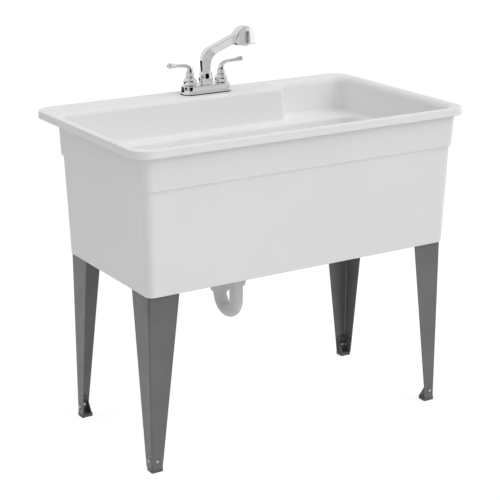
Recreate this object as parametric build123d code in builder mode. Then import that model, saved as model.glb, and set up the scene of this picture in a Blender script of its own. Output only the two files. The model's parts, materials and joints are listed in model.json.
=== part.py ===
from build123d import *
import math
import os

# Utility laundry sink: a moulded basin on four angle legs, with a two-handle centreset tap and a trap.
# Millimetres. +X is to the right seen from the front, +Y points at the wall, +Z is up.
# The origin is on the floor, under the middle of the rim.

# ---------------------------------------------------------------- driving sizes: basin
rim_length = 1016.0
rim_width = 609.6
rim_height = 863.6
rim_corner = 52.0
rim_thickness = 6.0
rim_land = 13.0            # flat top between the rim's edge and its inner rounding
rim_round = 21.0           # rounding from the land into the inner wall
rim_edge_round = 3.0       # rounding of the rim's top outer edge
lip_drop = 20.5
lip_wall = 5.0
lip_flare = 1.5            # how much further out the lip's bottom edge stands than its top

band_end_inset = 23.6      # from the rim's edge in to the outer wall, at the two ends
band_front_inset = 17.2
deck_overhang = 94.2       # the same at the back: the deck hangs out over it
step_drop = 108.6          # rim's top down to the step in the outer wall
step_width = 5.4
band_draft = 3.6           # how much narrower a side gets from the top of the band to its bottom
band_corner = 29.0

skirt_height = 274.8       # from the step down to the skirt's bottom edge
skirt_draft = 10.0
skirt_corner = 26.0
skirt_foot_corner = 20.0
skirt_wall = 4.4

ledge_drop = 100.0         # rim's top down to the inner ledge
ledge_thickness = 8.0
wall_draft = 4.0
inner_corner = 40.0
deck_depth = 114.8         # rim's back edge to the deck's front face
deck_edge_round = 12.0
deck_right_end = 230.0     # where the deck stops and the pocket starts
deck_end_wall = 12.0
deck_lap = 3.0             # how far the deck's block runs into the rim round it
deck_sink = 0.02           # how far its top lies under the rim's, so that no two faces coincide
pocket_setback = 54.0      # rim's back edge to the pocket's back wall
pocket_wall = 6.0
ledge_width = 24.0         # along the front and the two ends
ledge_width_at_deck = 30.0

bowl_depth = 330.6         # rim's top down to the floor at the bowl's walls
bowl_draft = 22.0
bowl_wall = 5.0
bowl_corner = 45.0
bowl_edge_round = 8.0      # rounding from the ledge over into the bowl
floor_round = 28.0
floor_fall = 8.0           # slope of the floor towards the drain
floor_dish = 110.0         # width of the low flat round the drain

# ---------------------------------------------------------------- driving sizes: legs and feet
leg_sheet = 2.0
leg_fold_radius = 6.0      # outside of the fold
leg_foot_width = 31.5
leg_top_width = 99.0
leg_end_inset = 4.4        # from the skirt's bottom edge in to the leg's corner
leg_front_inset = 11.1
leg_rear_inset = 6.4
leg_engagement = 80.0      # how far a leg reaches up inside the skirt
leg_clearance = 6.0        # free space kept inside a leg's sheet
leg_pad_margin = 3.0       # how far the wall pads start above the skirt's edge
corner_shelf = 6.0         # plate over each leg's top
corner_shelf_size = 106.0
leg_screw_radius = 2.1
leg_screw_head_radius = 4.4
leg_screw_head_height = 2.4
leg_screw_offset = 45.0    # from the leg's corner
leg_screw_drop = 30.0      # below the leg's top
leg_screw_bite = 5.0

foot_pad_height = 9.0
foot_pad_length = 33.0
foot_pad_depth = 29.0
foot_wall = 3.0
foot_upright_height = 57.0
foot_upright_width = 29.0
foot_top_round = 11.0
foot_gap = 0.2
foot_travel = 12.0
foot_screw_offset = 16.3   # from the leg's corner
foot_screw_height = 31.0
foot_screw_radius = 2.4
foot_screw_head_radius = 4.6
foot_screw_head_height = 2.6
foot_screw_tail = 1.5      # thread showing past the nut
foot_nut_radius = 4.6
foot_nut_height = 4.0
slot_gap = 0.1

# ---------------------------------------------------------------- driving sizes: waste
drain_x = -65.0
drain_y = -25.0
flange_radius = 38.0
flange_thickness = 3.0
drain_boss_radius = 62.0
drain_boss_thickness = 10.0
strainer_radius = 24.0
strainer_bore = 20.0
strainer_length = 47.0
strainer_bar_width = 3.0
strainer_bar_height = 4.0
strainer_bar_rise = 6.0    # bars above the strainer's lower end
drain_seal_radius = 36.0
drain_gasket_thickness = 3.0
drain_washer_thickness = 1.5
locknut_radius = 33.0
locknut_height = 11.0
tube_radius = 19.05        # 1 1/2 inch tubular waste
tube_wall = 1.8
tailpiece_flange_radius = 23.5
tailpiece_flange_thickness = 2.0
tailpiece_length = 95.0
tailpiece_nut_radius = 29.0
tailpiece_nut_height = 22.0
slip_nut_radius = 25.5
slip_nut_height = 27.0
slip_nut_lip = 3.0
slip_washer_height = 4.0
socket_radius = 22.0
socket_depth = 21.0
tailpiece_socket_gap = 6.0  # from the tailpiece's end down to the socket's bottom
trap_radius = 44.0
trap_drop = 42.0           # from the inlet socket's bottom to the U's centre
arm_radius = 38.0
arm_insertion = 16.0
arm_rise = 76.0            # from the U's centre to the arm's centre line
arm_end_gap = 90.0         # between the arm's end and the plane of the rim's back edge
thread_gap = 0.05
tube_gap = 0.3
slip_nut_ribs = 10
slip_nut_rib_depth = 1.2

stopper_radius = 19.2
stopper_rim_radius = 22.5
stopper_rim_thickness = 3.0
stopper_plug_depth = 10.0
stopper_knob_radius = 6.0
stopper_knob_height = 9.0
stopper_knob_flare = 5.4   # height of the knob's cone
stopper_taper = 1.0
stopper_lead = 2.0         # height of the plug's lower taper
stopper_rim_gap = 1.0

# ---------------------------------------------------------------- driving sizes: tap
tap_setback = 59.8         # rim's back edge to the tap's centre line
tap_spacing = 101.6        # 4 inch centres
shank_hole_radius = 15.0
gasket_margin = 0.8
gasket_thickness = 1.6
base_length = 152.4
base_depth = 51.0
base_height = 24.0
base_corner = 22.0
base_wall = 2.6
base_draft = 1.2
base_edge_round = 2.0
shank_radius = 10.4         # thread that the mounting nut runs on
supply_end_radius = 10.1    # lower end, where a supply hose's nut goes on
supply_end_length = 25.0
shank_bore = 6.0
shank_length = 46.0
valve_radius = 12.6
valve_bottom_gap = 0.8     # between the gasket's top and the valve's body
valve_neck_radius = 10.8
valve_neck_height = 11.0
stem_radius = 4.0
stem_depth = 14.0          # below the base's top
bonnet_foot_radius = 17.3
bonnet_radius = 19.0
bonnet_waist_radius = 11.5
bonnet_top_radius = 9.2
bonnet_height = 24.0
bonnet_foot_height = 2.4
bonnet_bulge_height = 8.2
bonnet_waist_height = 20.2
handle_neck_radius = 7.6
handle_bead_radius = 8.8
handle_bead = 3.4
handle_neck_height = 13.0
handle_tube_radius = 5.2
handle_bend_radius = 10.0
handle_rise = 31.0         # from the bonnet's top to the lever's axis, over the valve
lever_length = 72.0
lever_climb = 6.0
lever_tip_radius = 7.2
lever_tip_length = 24.0
lever_nose = 4.3           # how far the rounded nose stands past the flare
lever_waist_radius = 4.8   # where the flare starts
handle_screw_radius = 2.0
handle_screw_length = 5.0
handle_screw_rise = 5.0
waterway_radius = 7.5
waterway_bore = 5.5
waterway_height = 9.8      # axis above the deck
boss_radius = 13.0
boss_height = 16.0         # above the base's top
spout_stub_radius = 9.0
spout_stub_length = 32.0
spout_bore = 6.0
spout_neck_radius = 12.8
ring_seat_radius = 11.5
ring_radius = 15.4
ring_height = 3.0
ring_slot = 3.0
ring_seat_rise = 1.8       # above the boss's top
hub_foot_radius = 18.0
hub_radius = 20.2
hub_top_radius = 16.8
hub_height = 34.0
hub_bulge_height = 14.3
spout_base_radius = 16.0
spout_riser_height = 25.0  # from the hub's top to where the bend starts
riser_angle = 86.0
riser_depth = 31.0
riser_width = 28.0
bend_depth = 29.0
bend_width = 26.0
turn_x = 1.5               # the turn starts here, where the riser's lean grows
turn_rise = 36.0
turn_angle = 72.0
bend_x = 7.5
bend_rise = 47.3
bend_angle = 50.0
arm_start_x = 32.0
arm_start_depth = 21.6
arm_slope = 21.0           # degrees above level
arm_start_rise = 62.7
arm_width = 24.0
arm_end_depth = 23.8
arm_reach = 96.0           # from the swivel axis to where the head starts
section_corner = 3.2
head_length = 62.5
head_width = 32.0
head_height = 50.5
head_drop = 21.5           # from the arm's centre line down to the head's bottom
head_shoulder = 33.0       # height of the head's back face
head_crown = 36.0          # from the head's back face to its highest point
head_side_round = 5.0
aerator_radius = 12.0
aerator_bore = 9.6
aerator_height = 13.0
aerator_proud = 3.0
aerator_chamfer = 0.8
aerator_inner_lip = 1.0    # inside step that the screen rests against
aerator_place = 34.0       # from the head's back face
screen_thickness = 1.0
screen_seat = 2.0          # from the aerator's lower end
screen_hole_radius = 0.9
screen_pitch = 3.2
mount_washer_radius = 19.0
mount_washer_thickness = 2.0
mount_nut_radius = 17.0
mount_nut_height = 12.0
wing_length = 11.0
wing_thickness = 5.0
o_ring_section = 0.66      # radius of the ring's round section
o_ring_rise = 14.0         # above the stub's lower end
running_fit = 0.08
running_gap = 0.3
past = 1.0                 # how far a cut runs past the face it opens
least_flat = 0.2           # straight left between two rounded corners
touch = 0.01               # tells apart faces and edges that lie on a plane
head_round_share = 0.6     # of a screw head's height
recess_width_share = 0.25  # of a screw head's radius
recess_depth_share = 0.5   # of a screw head's height

# ---------------------------------------------------------------- levels and faces worked out from them
half_length = rim_length / 2
half_width = rim_width / 2
step_z = rim_height - step_drop
skirt_z = step_z - skirt_height
ledge_z = rim_height - ledge_drop
floor_z = rim_height - bowl_depth
deck_under_z = rim_height - rim_thickness

band_x = half_length - band_end_inset
band_front = half_width - band_front_inset
band_back = half_width - deck_overhang
skirt_x = band_x - band_draft - step_width
skirt_front = band_front - band_draft - step_width
skirt_back = band_back - band_draft - step_width

wall_x = half_length - rim_land - rim_round
wall_front = half_width - rim_land - rim_round
deck_face = half_width - deck_depth
pocket_back = half_width - pocket_setback
pocket_outer = pocket_back + pocket_wall
under_deck_right = deck_right_end - deck_end_wall

bowl_x = wall_x - wall_draft - ledge_width
bowl_front = wall_front - wall_draft - ledge_width
bowl_back = deck_face - wall_draft - ledge_width_at_deck

leg_x = skirt_x - skirt_draft - leg_end_inset
leg_front_y = -(skirt_front - skirt_draft - leg_front_inset)
leg_rear_y = skirt_back - skirt_draft - leg_rear_inset
leg_top_z = skirt_z + leg_engagement
leg_corners = {
    "front_left": (-1, -1, leg_front_y),
    "front_right": (1, -1, leg_front_y),
    "rear_left": (-1, 1, leg_rear_y),
    "rear_right": (1, 1, leg_rear_y),
}
leg_screw_z = leg_top_z - leg_screw_drop
foot_inner = leg_sheet + foot_gap + foot_wall

drain_top_z = floor_z - floor_fall
drain_seat_z = drain_top_z - flange_thickness
drain_under_z = drain_seat_z - drain_boss_thickness
gasket_z = drain_under_z - drain_gasket_thickness
washer_z = gasket_z - drain_washer_thickness
locknut_z = washer_z - locknut_height
strainer_end_z = drain_top_z - strainer_length
tailpiece_z = strainer_end_z - tailpiece_flange_thickness
tailpiece_end_z = tailpiece_z + tailpiece_flange_thickness - tailpiece_length
socket_top_z = tailpiece_end_z + socket_depth - tailpiece_socket_gap
trap_z = socket_top_z - socket_depth - trap_drop
outlet_y = drain_y + 2 * trap_radius
outlet_top_z = trap_z + socket_depth
arm_z = trap_z + arm_rise
arm_end_y = half_width - arm_end_gap

tap_y = half_width - tap_setback
plate_z = rim_height + gasket_thickness
base_top_z = plate_z + base_height
bonnet_top_z = base_top_z + bonnet_height
boss_top_z = base_top_z + boss_height
hub_top_z = base_top_z + hub_height
spout_foot_z = boss_top_z + running_fit
valve_places = {"hot": -1, "cold": 1}

os.makedirs("parts", exist_ok=True)


def save(piece, name):
    """Label a finished piece and write it as its own STEP file."""
    piece.part.label = name
    export_step(piece.part, "parts/" + name + ".step")


def tier(height, side, front, back, corner):
    """A rounded rectangle at a height, given by how far it reaches to each side, front and back."""
    with BuildSketch(Plane.XY.offset(height)) as outline:
        with Locations((0, (back - front) / 2)):
            RectangleRounded(2 * side, front + back, corner)
    return outline.sketch


def turned(*profile):
    """A solid of revolution about the local Z axis, from (radius, height) points."""
    with BuildPart(mode=Mode.PRIVATE) as shape:
        with BuildSketch(Plane.XZ):
            with BuildLine():
                Polyline(*profile, close=True)
            make_face()
        revolve(axis=Axis.Z)
    return shape.part


def ring(outer, inner, low, high):
    """A plain ring about the local Z axis between two heights."""
    return turned((inner, low), (outer, low), (outer, high), (inner, high))


# ---------------------------------------------------------------- basin
def make_bowl_space():
    """The air inside the lower bowl, with its rounded foot and a floor that falls to the drain."""
    inset = bowl_draft + floor_round
    with BuildPart() as space:
        loft([
            tier(floor_z, bowl_x - bowl_draft, bowl_front - bowl_draft, bowl_back - bowl_draft, bowl_corner),
            tier(ledge_z, bowl_x, bowl_front, bowl_back, bowl_corner),
        ])
        fillet(space.faces().sort_by(Axis.Z)[0].edges(), floor_round)
        with BuildSketch(Plane.XY.offset(floor_z - floor_fall)):
            with Locations((drain_x, drain_y)):
                RectangleRounded(floor_dish, floor_dish, floor_dish / 2 - least_flat)
        with BuildSketch(Plane.XY.offset(floor_z)):
            add(tier(0, bowl_x - inset, bowl_front - inset, bowl_back - inset, bowl_corner - floor_round))
        loft()
    return space.part


def make_deck_block():
    """The tap deck with its front face and its right end, before it joins the rim."""
    left = -(half_length - rim_land + deck_lap)
    back = pocket_back + rim_round + deck_lap
    top = rim_height - deck_sink
    with BuildPart() as block:
        for height, grow in ((ledge_z - ledge_thickness / 2, wall_draft), (top, 0)):
            with BuildSketch(Plane.XY.offset(height)):
                with Locations(((left + deck_right_end + grow) / 2, (deck_face - grow + back) / 2)):
                    Rectangle(deck_right_end + grow - left, back - deck_face + grow)
        loft()
        corner = Vector(deck_right_end, deck_face, top)
        meeting = block.edges().filter_by(lambda edge: edge.distance_to(corner) < touch)
        fillet(meeting, deck_edge_round)
        # past the end wall only the plate is left, so nothing shows under the rim
        with BuildSketch(Plane.XY.offset(deck_under_z)):
            with Locations((-band_x + deck_lap - half_width, 0)):
                Rectangle(2 * half_width, 2 * half_width)
        extrude(amount=-step_drop, mode=Mode.SUBTRACT)
    return block.part


def make_leg_outline(height, place, width, wall, inset, fold):
    """The L of an angle leg, or of what fits inside it, at one height and corner."""
    side, way, corner_y = place
    with BuildSketch(Plane.XY.offset(height)) as outline:
        with BuildLine():
            Polyline(
                *[
                    (side * (leg_x - across), corner_y - way * along)
                    for across, along in (
                        (inset, inset),
                        (inset + width, inset),
                        (inset + width, inset + wall),
                        (inset + wall, inset + wall),
                        (inset + wall, inset + width),
                        (inset, inset + width),
                    )
                ],
                close=True,
            )
        make_face()
        outer = (side * (leg_x - inset), corner_y - way * inset, 0)
        inner = (side * (leg_x - inset - wall), corner_y - way * (inset + wall), 0)
        fillet(outline.vertices().sort_by_distance(outer)[0], fold)
        fillet(outline.vertices().sort_by_distance(inner)[0], max(fold - wall, fold / 4))
    return outline.sketch


def screw_axes(place, offset, height):
    """Planes on a leg's two outer faces, with Z pointing outwards, where its screws go through."""
    side, way, corner_y = place
    end_face = Plane((side * leg_x, corner_y - way * offset, height), x_dir=(0, 1, 0), z_dir=(side, 0, 0))
    long_face = Plane((side * (leg_x - offset), corner_y, height), x_dir=(1, 0, 0), z_dir=(0, way, 0))
    return [end_face, long_face]


def make_corner_pad(place):
    """The thick corner inside the skirt that a leg's top sits in, with the shelf over it."""
    side, way, corner_y = place
    clip = skirt_draft + skirt_wall / 3
    with BuildPart() as pad:
        with BuildSketch(Plane.XY.offset(skirt_z + leg_pad_margin)):
            add(tier(0, skirt_x - clip, skirt_front - clip, skirt_back - clip, skirt_foot_corner))
            with Locations((side * leg_x, corner_y)):
                Rectangle(2 * corner_shelf_size, 2 * corner_shelf_size, mode=Mode.INTERSECT)
        extrude(amount=leg_engagement + corner_shelf - leg_pad_margin)
        with BuildSketch(Plane.XY.offset(skirt_z)):
            with Locations((side * (leg_x - corner_shelf_size), corner_y - way * corner_shelf_size)):
                Rectangle(2 * corner_shelf_size, 2 * corner_shelf_size)
        extrude(amount=leg_engagement, mode=Mode.SUBTRACT)
    return pad.part


bowl_space = make_bowl_space()
deck_block = make_deck_block()
corner_pads = [make_corner_pad(place) for place in leg_corners.values()]

with BuildPart() as tub_basin:
    # rim slab with its hanging lip
    loft([
        tier(rim_height - lip_drop, half_length, half_width, half_width, rim_corner),
        tier(rim_height, half_length - lip_flare, half_width - lip_flare, half_width - lip_flare, rim_corner),
    ])
    fillet(tub_basin.faces().sort_by(Axis.Z)[-1].edges(), rim_edge_round)
    lip_in = lip_wall + lip_flare
    loft([
        tier(rim_height - lip_drop, half_length - lip_wall, half_width - lip_wall, half_width - lip_wall,
             rim_corner - lip_wall),
        tier(deck_under_z, half_length - lip_in, half_width - lip_in, half_width - lip_in,
             rim_corner - lip_wall),
    ], mode=Mode.SUBTRACT)

    # skirt, made hollow up to the ledge's underside
    loft([
        tier(skirt_z, skirt_x - skirt_draft, skirt_front - skirt_draft, skirt_back - skirt_draft,
             skirt_foot_corner),
        tier(step_z, skirt_x, skirt_front, skirt_back, skirt_corner),
    ])
    hollow = skirt_draft + skirt_wall
    loft([
        tier(skirt_z, skirt_x - hollow, skirt_front - hollow, skirt_back - hollow,
             skirt_foot_corner - skirt_wall),
        tier(step_z, skirt_x - skirt_wall, skirt_front - skirt_wall, skirt_back - skirt_wall,
             skirt_corner - skirt_wall),
    ], mode=Mode.SUBTRACT)

    # band above the step
    loft([
        tier(step_z, band_x - band_draft, band_front - band_draft, pocket_outer - band_draft, band_corner),
        tier(deck_under_z + past, band_x, band_front, pocket_outer, band_corner),
    ])

    # lower bowl from outside, with the boss for the drain
    low = bowl_draft - bowl_wall
    loft([
        tier(floor_z - floor_fall - bowl_wall, bowl_x - low, bowl_front - low, bowl_back - low, bowl_corner),
        tier(ledge_z - ledge_thickness, bowl_x + bowl_wall, bowl_front + bowl_wall, bowl_back + bowl_wall,
             bowl_corner + bowl_wall),
    ])
    with Locations((drain_x, drain_y, 0)):
        add(ring(drain_boss_radius, 0, drain_under_z, floor_z - floor_fall))

    # the space above the ledge, and the rim's rounding into it
    loft([
        tier(ledge_z, wall_x - wall_draft, wall_front - wall_draft, pocket_back - wall_draft, inner_corner),
        tier(rim_height, wall_x, wall_front, pocket_back, inner_corner),
    ], mode=Mode.SUBTRACT)
    inner_loop = tub_basin.faces().sort_by(Axis.Z)[-1].inner_wires()[0].edges()
    fillet(inner_loop, rim_round)

    # left of the pocket the outer wall steps forward, under the deck
    add(deck_block)
    with BuildSketch(Plane.XY.offset(step_z)):
        add(tier(0, half_length - lip_in, half_width - lip_in, half_width - lip_in, rim_corner - lip_wall))
        with Locations((under_deck_right - half_length, band_back + half_width)):
            Rectangle(2 * half_length, 2 * half_width, mode=Mode.INTERSECT)
    extrude(amount=deck_under_z - step_z, mode=Mode.SUBTRACT)

    # corner pads, then the lower bowl's inside
    add(corner_pads)
    for place in leg_corners.values():
        seat = make_leg_outline(skirt_z, place, leg_top_width, leg_sheet + leg_clearance, 0, leg_fold_radius)
        extrude(seat, amount=leg_engagement, mode=Mode.SUBTRACT)
        for plane in screw_axes(place, leg_screw_offset, leg_screw_z):
            with BuildSketch(plane):
                Circle(leg_screw_radius)
            extrude(amount=leg_screw_bite, mode=Mode.SUBTRACT)
    add(bowl_space, mode=Mode.SUBTRACT)
    bowl_edge = tub_basin.edges().filter_by(
        lambda edge: abs(edge.center().Z - ledge_z) < touch
        and abs(edge.center().X) < bowl_x + past
        and -bowl_front - past < edge.center().Y < bowl_back + past
    )
    fillet(bowl_edge, bowl_edge_round)

    # drain hole with its seat, and the two tap holes
    with Locations((drain_x, drain_y, 0)):
        add(ring(strainer_radius + running_gap, 0, drain_under_z - past, drain_seat_z + past), mode=Mode.SUBTRACT)
        add(ring(flange_radius + running_gap, 0, drain_seat_z, drain_top_z + floor_fall),
            mode=Mode.SUBTRACT)
    for side in valve_places.values():
        with Locations((side * tap_spacing / 2, tap_y, 0)):
            add(ring(shank_hole_radius, 0, deck_under_z - past, rim_height + past), mode=Mode.SUBTRACT)
save(tub_basin, "tub_basin")


# ---------------------------------------------------------------- legs and levelling feet
def make_leg(place):
    """A tapered angle folded from sheet, with the holes for its screws."""
    leg_foot_z = foot_pad_height
    with BuildPart() as leg:
        loft([
            make_leg_outline(leg_foot_z, place, leg_foot_width, leg_sheet, 0, leg_fold_radius),
            make_leg_outline(leg_top_z, place, leg_top_width, leg_sheet, 0, leg_fold_radius),
        ])
        for plane in screw_axes(place, foot_screw_offset, foot_screw_height):
            with BuildSketch(plane):
                Circle(foot_screw_radius)
            extrude(amount=-2 * leg_sheet, mode=Mode.SUBTRACT)
        for plane in screw_axes(place, leg_screw_offset, leg_screw_z):
            with BuildSketch(plane):
                Circle(leg_screw_radius)
            extrude(amount=-2 * leg_sheet, mode=Mode.SUBTRACT)
    return leg


def make_foot(place):
    """A moulded foot: a pad under the leg, and a slotted angle and a web that stand inside it."""
    side, way, corner_y = place
    inset = leg_sheet + foot_gap
    with BuildPart() as foot:
        with BuildSketch():
            with Locations((side * (leg_x - foot_pad_length / 2), corner_y - way * foot_pad_depth / 2)):
                RectangleRounded(foot_pad_length, foot_pad_depth, foot_wall)
        extrude(amount=foot_pad_height)
        outline = make_leg_outline(0, place, foot_upright_width, foot_wall, inset, leg_fold_radius - leg_sheet)
        extrude(outline, amount=foot_upright_height)
        tips = foot.edges().filter_by(
            lambda edge: edge.center().Z > foot_upright_height - past
            and edge.length < foot_wall + past
            and edge.distance_to(Vector(side * (leg_x - inset), corner_y - way * inset, foot_upright_height))
            > foot_upright_width / 2
        )
        fillet(tips, foot_top_round)
        web_start = leg_x - foot_pad_length + foot_wall
        with BuildSketch(Plane((side * web_start, 0, 0), x_dir=(0, 1, 0), z_dir=(1, 0, 0))):
            with BuildLine():
                Polyline(
                    (corner_y - way * (inset + foot_wall), 0),
                    (corner_y - way * foot_pad_depth, 0),
                    (corner_y - way * foot_pad_depth, foot_pad_height),
                    (corner_y - way * (inset + foot_wall), foot_upright_height - foot_top_round),
                    close=True,
                )
            make_face()
        extrude(amount=side * foot_wall)
        for plane in screw_axes(place, foot_screw_offset, foot_screw_height + foot_travel / 2):
            with BuildSketch(plane):
                SlotCenterToCenter(foot_travel, 2 * (foot_screw_radius + slot_gap), rotation=90)
            extrude(amount=-(foot_inner + past), mode=Mode.SUBTRACT)
    return foot


def make_pan_screw(shank_radius_mm, length, head_radius, head_height):
    """A cross-head pan screw: its head's flat underside is at the origin and its shank points down."""
    with BuildPart(mode=Mode.PRIVATE) as screw:
        add(ring(shank_radius_mm, 0, -length, 0))
        add(ring(head_radius, 0, 0, head_height))
        fillet(screw.edges().filter_by(GeomType.CIRCLE).sort_by(Axis.Z)[-1], head_height * head_round_share)
        with BuildSketch(Plane.XY.offset(head_height)):
            Rectangle(head_radius, head_radius * recess_width_share)
            Rectangle(head_radius * recess_width_share, head_radius)
        extrude(amount=-head_height * recess_depth_share, mode=Mode.SUBTRACT)
    return screw.part


for name, place in leg_corners.items():
    save(make_leg(place), "leg_" + name)
    save(make_foot(place), "foot_" + name)

foot_screw_length = foot_inner + slot_gap + foot_nut_height + foot_screw_tail
foot_screw = make_pan_screw(foot_screw_radius, foot_screw_length, foot_screw_head_radius, foot_screw_head_height)
leg_screw = make_pan_screw(leg_screw_radius, leg_sheet + leg_screw_bite, leg_screw_head_radius,
                           leg_screw_head_height)
foot_planes = [
    plane for place in leg_corners.values() for plane in screw_axes(place, foot_screw_offset, foot_screw_height)
]
leg_planes = [
    plane for place in leg_corners.values() for plane in screw_axes(place, leg_screw_offset, leg_screw_z)
]

with BuildPart() as foot_screws:
    for plane in foot_planes:
        add(foot_screw.moved(plane.location))
save(foot_screws, "foot_screws")

with BuildPart() as foot_nuts:
    for plane in foot_planes:
        with BuildSketch(plane.offset(-foot_inner - slot_gap)):
            RegularPolygon(foot_nut_radius, 6)
            Circle(foot_screw_radius, mode=Mode.SUBTRACT)
        extrude(amount=-foot_nut_height)
save(foot_nuts, "foot_nuts")

with BuildPart() as leg_screws:
    for plane in leg_planes:
        inward = Plane(plane.offset(-leg_sheet).origin, x_dir=plane.x_dir, z_dir=-plane.z_dir)
        add(leg_screw.moved(inward.location))
save(leg_screws, "leg_screws")

# ---------------------------------------------------------------- waste
with BuildPart() as drain_flange:
    # a wide flange, its threaded tube, and a cross of bars near the lower end
    with Locations((drain_x, drain_y, 0)):
        add(turned(
            (strainer_bore, strainer_end_z),
            (strainer_radius, strainer_end_z),
            (strainer_radius, drain_seat_z),
            (flange_radius, drain_seat_z),
            (flange_radius, drain_top_z - flange_thickness / 2),
            (flange_radius - flange_thickness, drain_top_z),
            (stopper_rim_radius + stopper_rim_gap, drain_top_z),
            (strainer_bore, drain_top_z - flange_thickness / 2),
        ))
    with BuildSketch(Plane.XY.offset(strainer_end_z + strainer_bar_rise)):
        with Locations((drain_x, drain_y)):
            Rectangle(2 * strainer_bore + past, strainer_bar_width)
            Rectangle(strainer_bar_width, 2 * strainer_bore + past)
    extrude(amount=strainer_bar_height)
save(drain_flange, "drain_flange")

with BuildPart() as drain_gasket:
    with Locations((drain_x, drain_y, 0)):
        add(ring(drain_seal_radius, strainer_radius + thread_gap, gasket_z, drain_under_z))
save(drain_gasket, "drain_gasket")

with BuildPart() as drain_washer:
    with Locations((drain_x, drain_y, 0)):
        add(ring(drain_seal_radius, strainer_radius + thread_gap, washer_z, gasket_z))
save(drain_washer, "drain_washer")

with BuildPart() as drain_locknut:
    with BuildSketch(Plane.XY.offset(locknut_z)):
        with Locations((drain_x, drain_y)):
            RegularPolygon(locknut_radius, 6)
            Circle(strainer_radius + thread_gap, mode=Mode.SUBTRACT)
    extrude(amount=locknut_height)
save(drain_locknut, "drain_locknut")

with BuildPart() as drain_stopper:
    plug_z = drain_top_z - stopper_plug_depth
    rim_top = drain_top_z + stopper_rim_thickness
    with Locations((drain_x, drain_y, 0)):
        add(turned(
            (0, plug_z),
            (stopper_radius - stopper_taper, plug_z),
            (stopper_radius, plug_z + stopper_lead),
            (stopper_radius, drain_top_z),
            (stopper_rim_radius, drain_top_z),
            (stopper_rim_radius - stopper_taper, rim_top),
            (stopper_knob_radius / 2, rim_top),
            (stopper_knob_radius, rim_top + stopper_knob_flare),
            (stopper_knob_radius, rim_top + stopper_knob_height),
            (0, rim_top + stopper_knob_height),
        ))
save(drain_stopper, "drain_stopper")

with BuildPart() as tailpiece:
    with Locations((drain_x, drain_y, 0)):
        add(turned(
            (tube_radius - tube_wall, tailpiece_end_z),
            (tube_radius, tailpiece_end_z),
            (tube_radius, tailpiece_z),
            (tailpiece_flange_radius, tailpiece_z),
            (tailpiece_flange_radius, strainer_end_z),
            (tube_radius - tube_wall, strainer_end_z),
        ))
save(tailpiece, "tailpiece")


def make_ribbed_nut(outer, height, low, profile):
    """A hand nut: a turned shell with grip ribs round it. The profile is the whole section."""
    with BuildPart(mode=Mode.PRIVATE) as nut:
        add(turned(*profile))
        with BuildSketch(Plane.XY.offset(low)):
            with PolarLocations(outer, slip_nut_ribs):
                Circle(slip_nut_rib_depth)
            Circle(outer - slip_nut_rib_depth / 2, mode=Mode.SUBTRACT)
        extrude(amount=height)
    return nut.part


def make_slip_nut(socket_top):
    """A slip nut over a socket, with a lip that closes on the tube above it."""
    thread = socket_radius + thread_gap
    hole = tube_radius + tube_gap
    lip = socket_top + slip_washer_height
    low = lip + slip_nut_lip - slip_nut_height
    return make_ribbed_nut(slip_nut_radius, slip_nut_height, low, [
        (thread, low),
        (slip_nut_radius, low),
        (slip_nut_radius, lip + slip_nut_lip),
        (hole, lip + slip_nut_lip),
        (hole, lip),
        (thread, lip),
    ])


with BuildPart() as tailpiece_nut:
    thread = strainer_radius + thread_gap
    low = tailpiece_z - slip_nut_lip
    high = low + tailpiece_nut_height
    with Locations((drain_x, drain_y, 0)):
        add(make_ribbed_nut(tailpiece_nut_radius, tailpiece_nut_height, low, [
            (tube_radius + tube_gap, low),
            (tailpiece_nut_radius, low),
            (tailpiece_nut_radius, high),
            (thread, high),
            (thread, tailpiece_z),
            (tube_radius + tube_gap, tailpiece_z),
        ]))
save(tailpiece_nut, "tailpiece_nut")

with BuildPart() as trap_inlet_nut:
    with Locations((drain_x, drain_y, 0)):
        add(make_slip_nut(socket_top_z))
save(trap_inlet_nut, "trap_inlet_nut")

with BuildPart() as trap_outlet_nut:
    with Locations((drain_x, outlet_y, 0)):
        add(make_slip_nut(outlet_top_z))
save(trap_outlet_nut, "trap_outlet_nut")

with BuildPart() as slip_washers:
    for y, top in ((drain_y, socket_top_z), (outlet_y, outlet_top_z)):
        with Locations((drain_x, y, 0)):
            add(ring(socket_radius - thread_gap, tube_radius + thread_gap, top, top + slip_washer_height))
save(slip_washers, "slip_washers")

with BuildPart() as j_bend:
    # inlet drop and U as one tube, with a socket at each end
    socket_foot = socket_top_z - socket_depth
    with BuildLine() as route:
        Line((drain_x, drain_y, socket_foot), (drain_x, drain_y, trap_z))
        ThreePointArc(
            (drain_x, drain_y, trap_z),
            (drain_x, drain_y + trap_radius, trap_z - trap_radius),
            (drain_x, outlet_y, trap_z),
        )
    with BuildSketch(Plane((drain_x, drain_y, socket_foot), z_dir=(0, 0, -1))):
        Circle(tube_radius)
        Circle(tube_radius - tube_wall, mode=Mode.SUBTRACT)
    sweep()
    for y, low, high in ((drain_y, socket_foot, socket_top_z), (outlet_y, trap_z, outlet_top_z)):
        with Locations((drain_x, y, 0)):
            add(turned(
                (tube_radius - tube_wall, low),
                (socket_radius, low),
                (socket_radius, high),
                (tube_radius + tube_gap, high),
                (tube_radius + tube_gap, low + tube_wall),
                (tube_radius - tube_wall, low + tube_wall),
            ))
save(j_bend, "j_bend")

with BuildPart() as trap_arm:
    arm_foot_z = outlet_top_z - arm_insertion
    with BuildLine() as arm_route:
        FilletPolyline(
            (drain_x, outlet_y, arm_foot_z),
            (drain_x, outlet_y, arm_z),
            (drain_x, arm_end_y, arm_z),
            radius=arm_radius,
        )
    with BuildSketch(Plane((drain_x, outlet_y, arm_foot_z))):
        Circle(tube_radius)
        Circle(tube_radius - tube_wall, mode=Mode.SUBTRACT)
    sweep()
save(trap_arm, "trap_arm")

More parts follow.
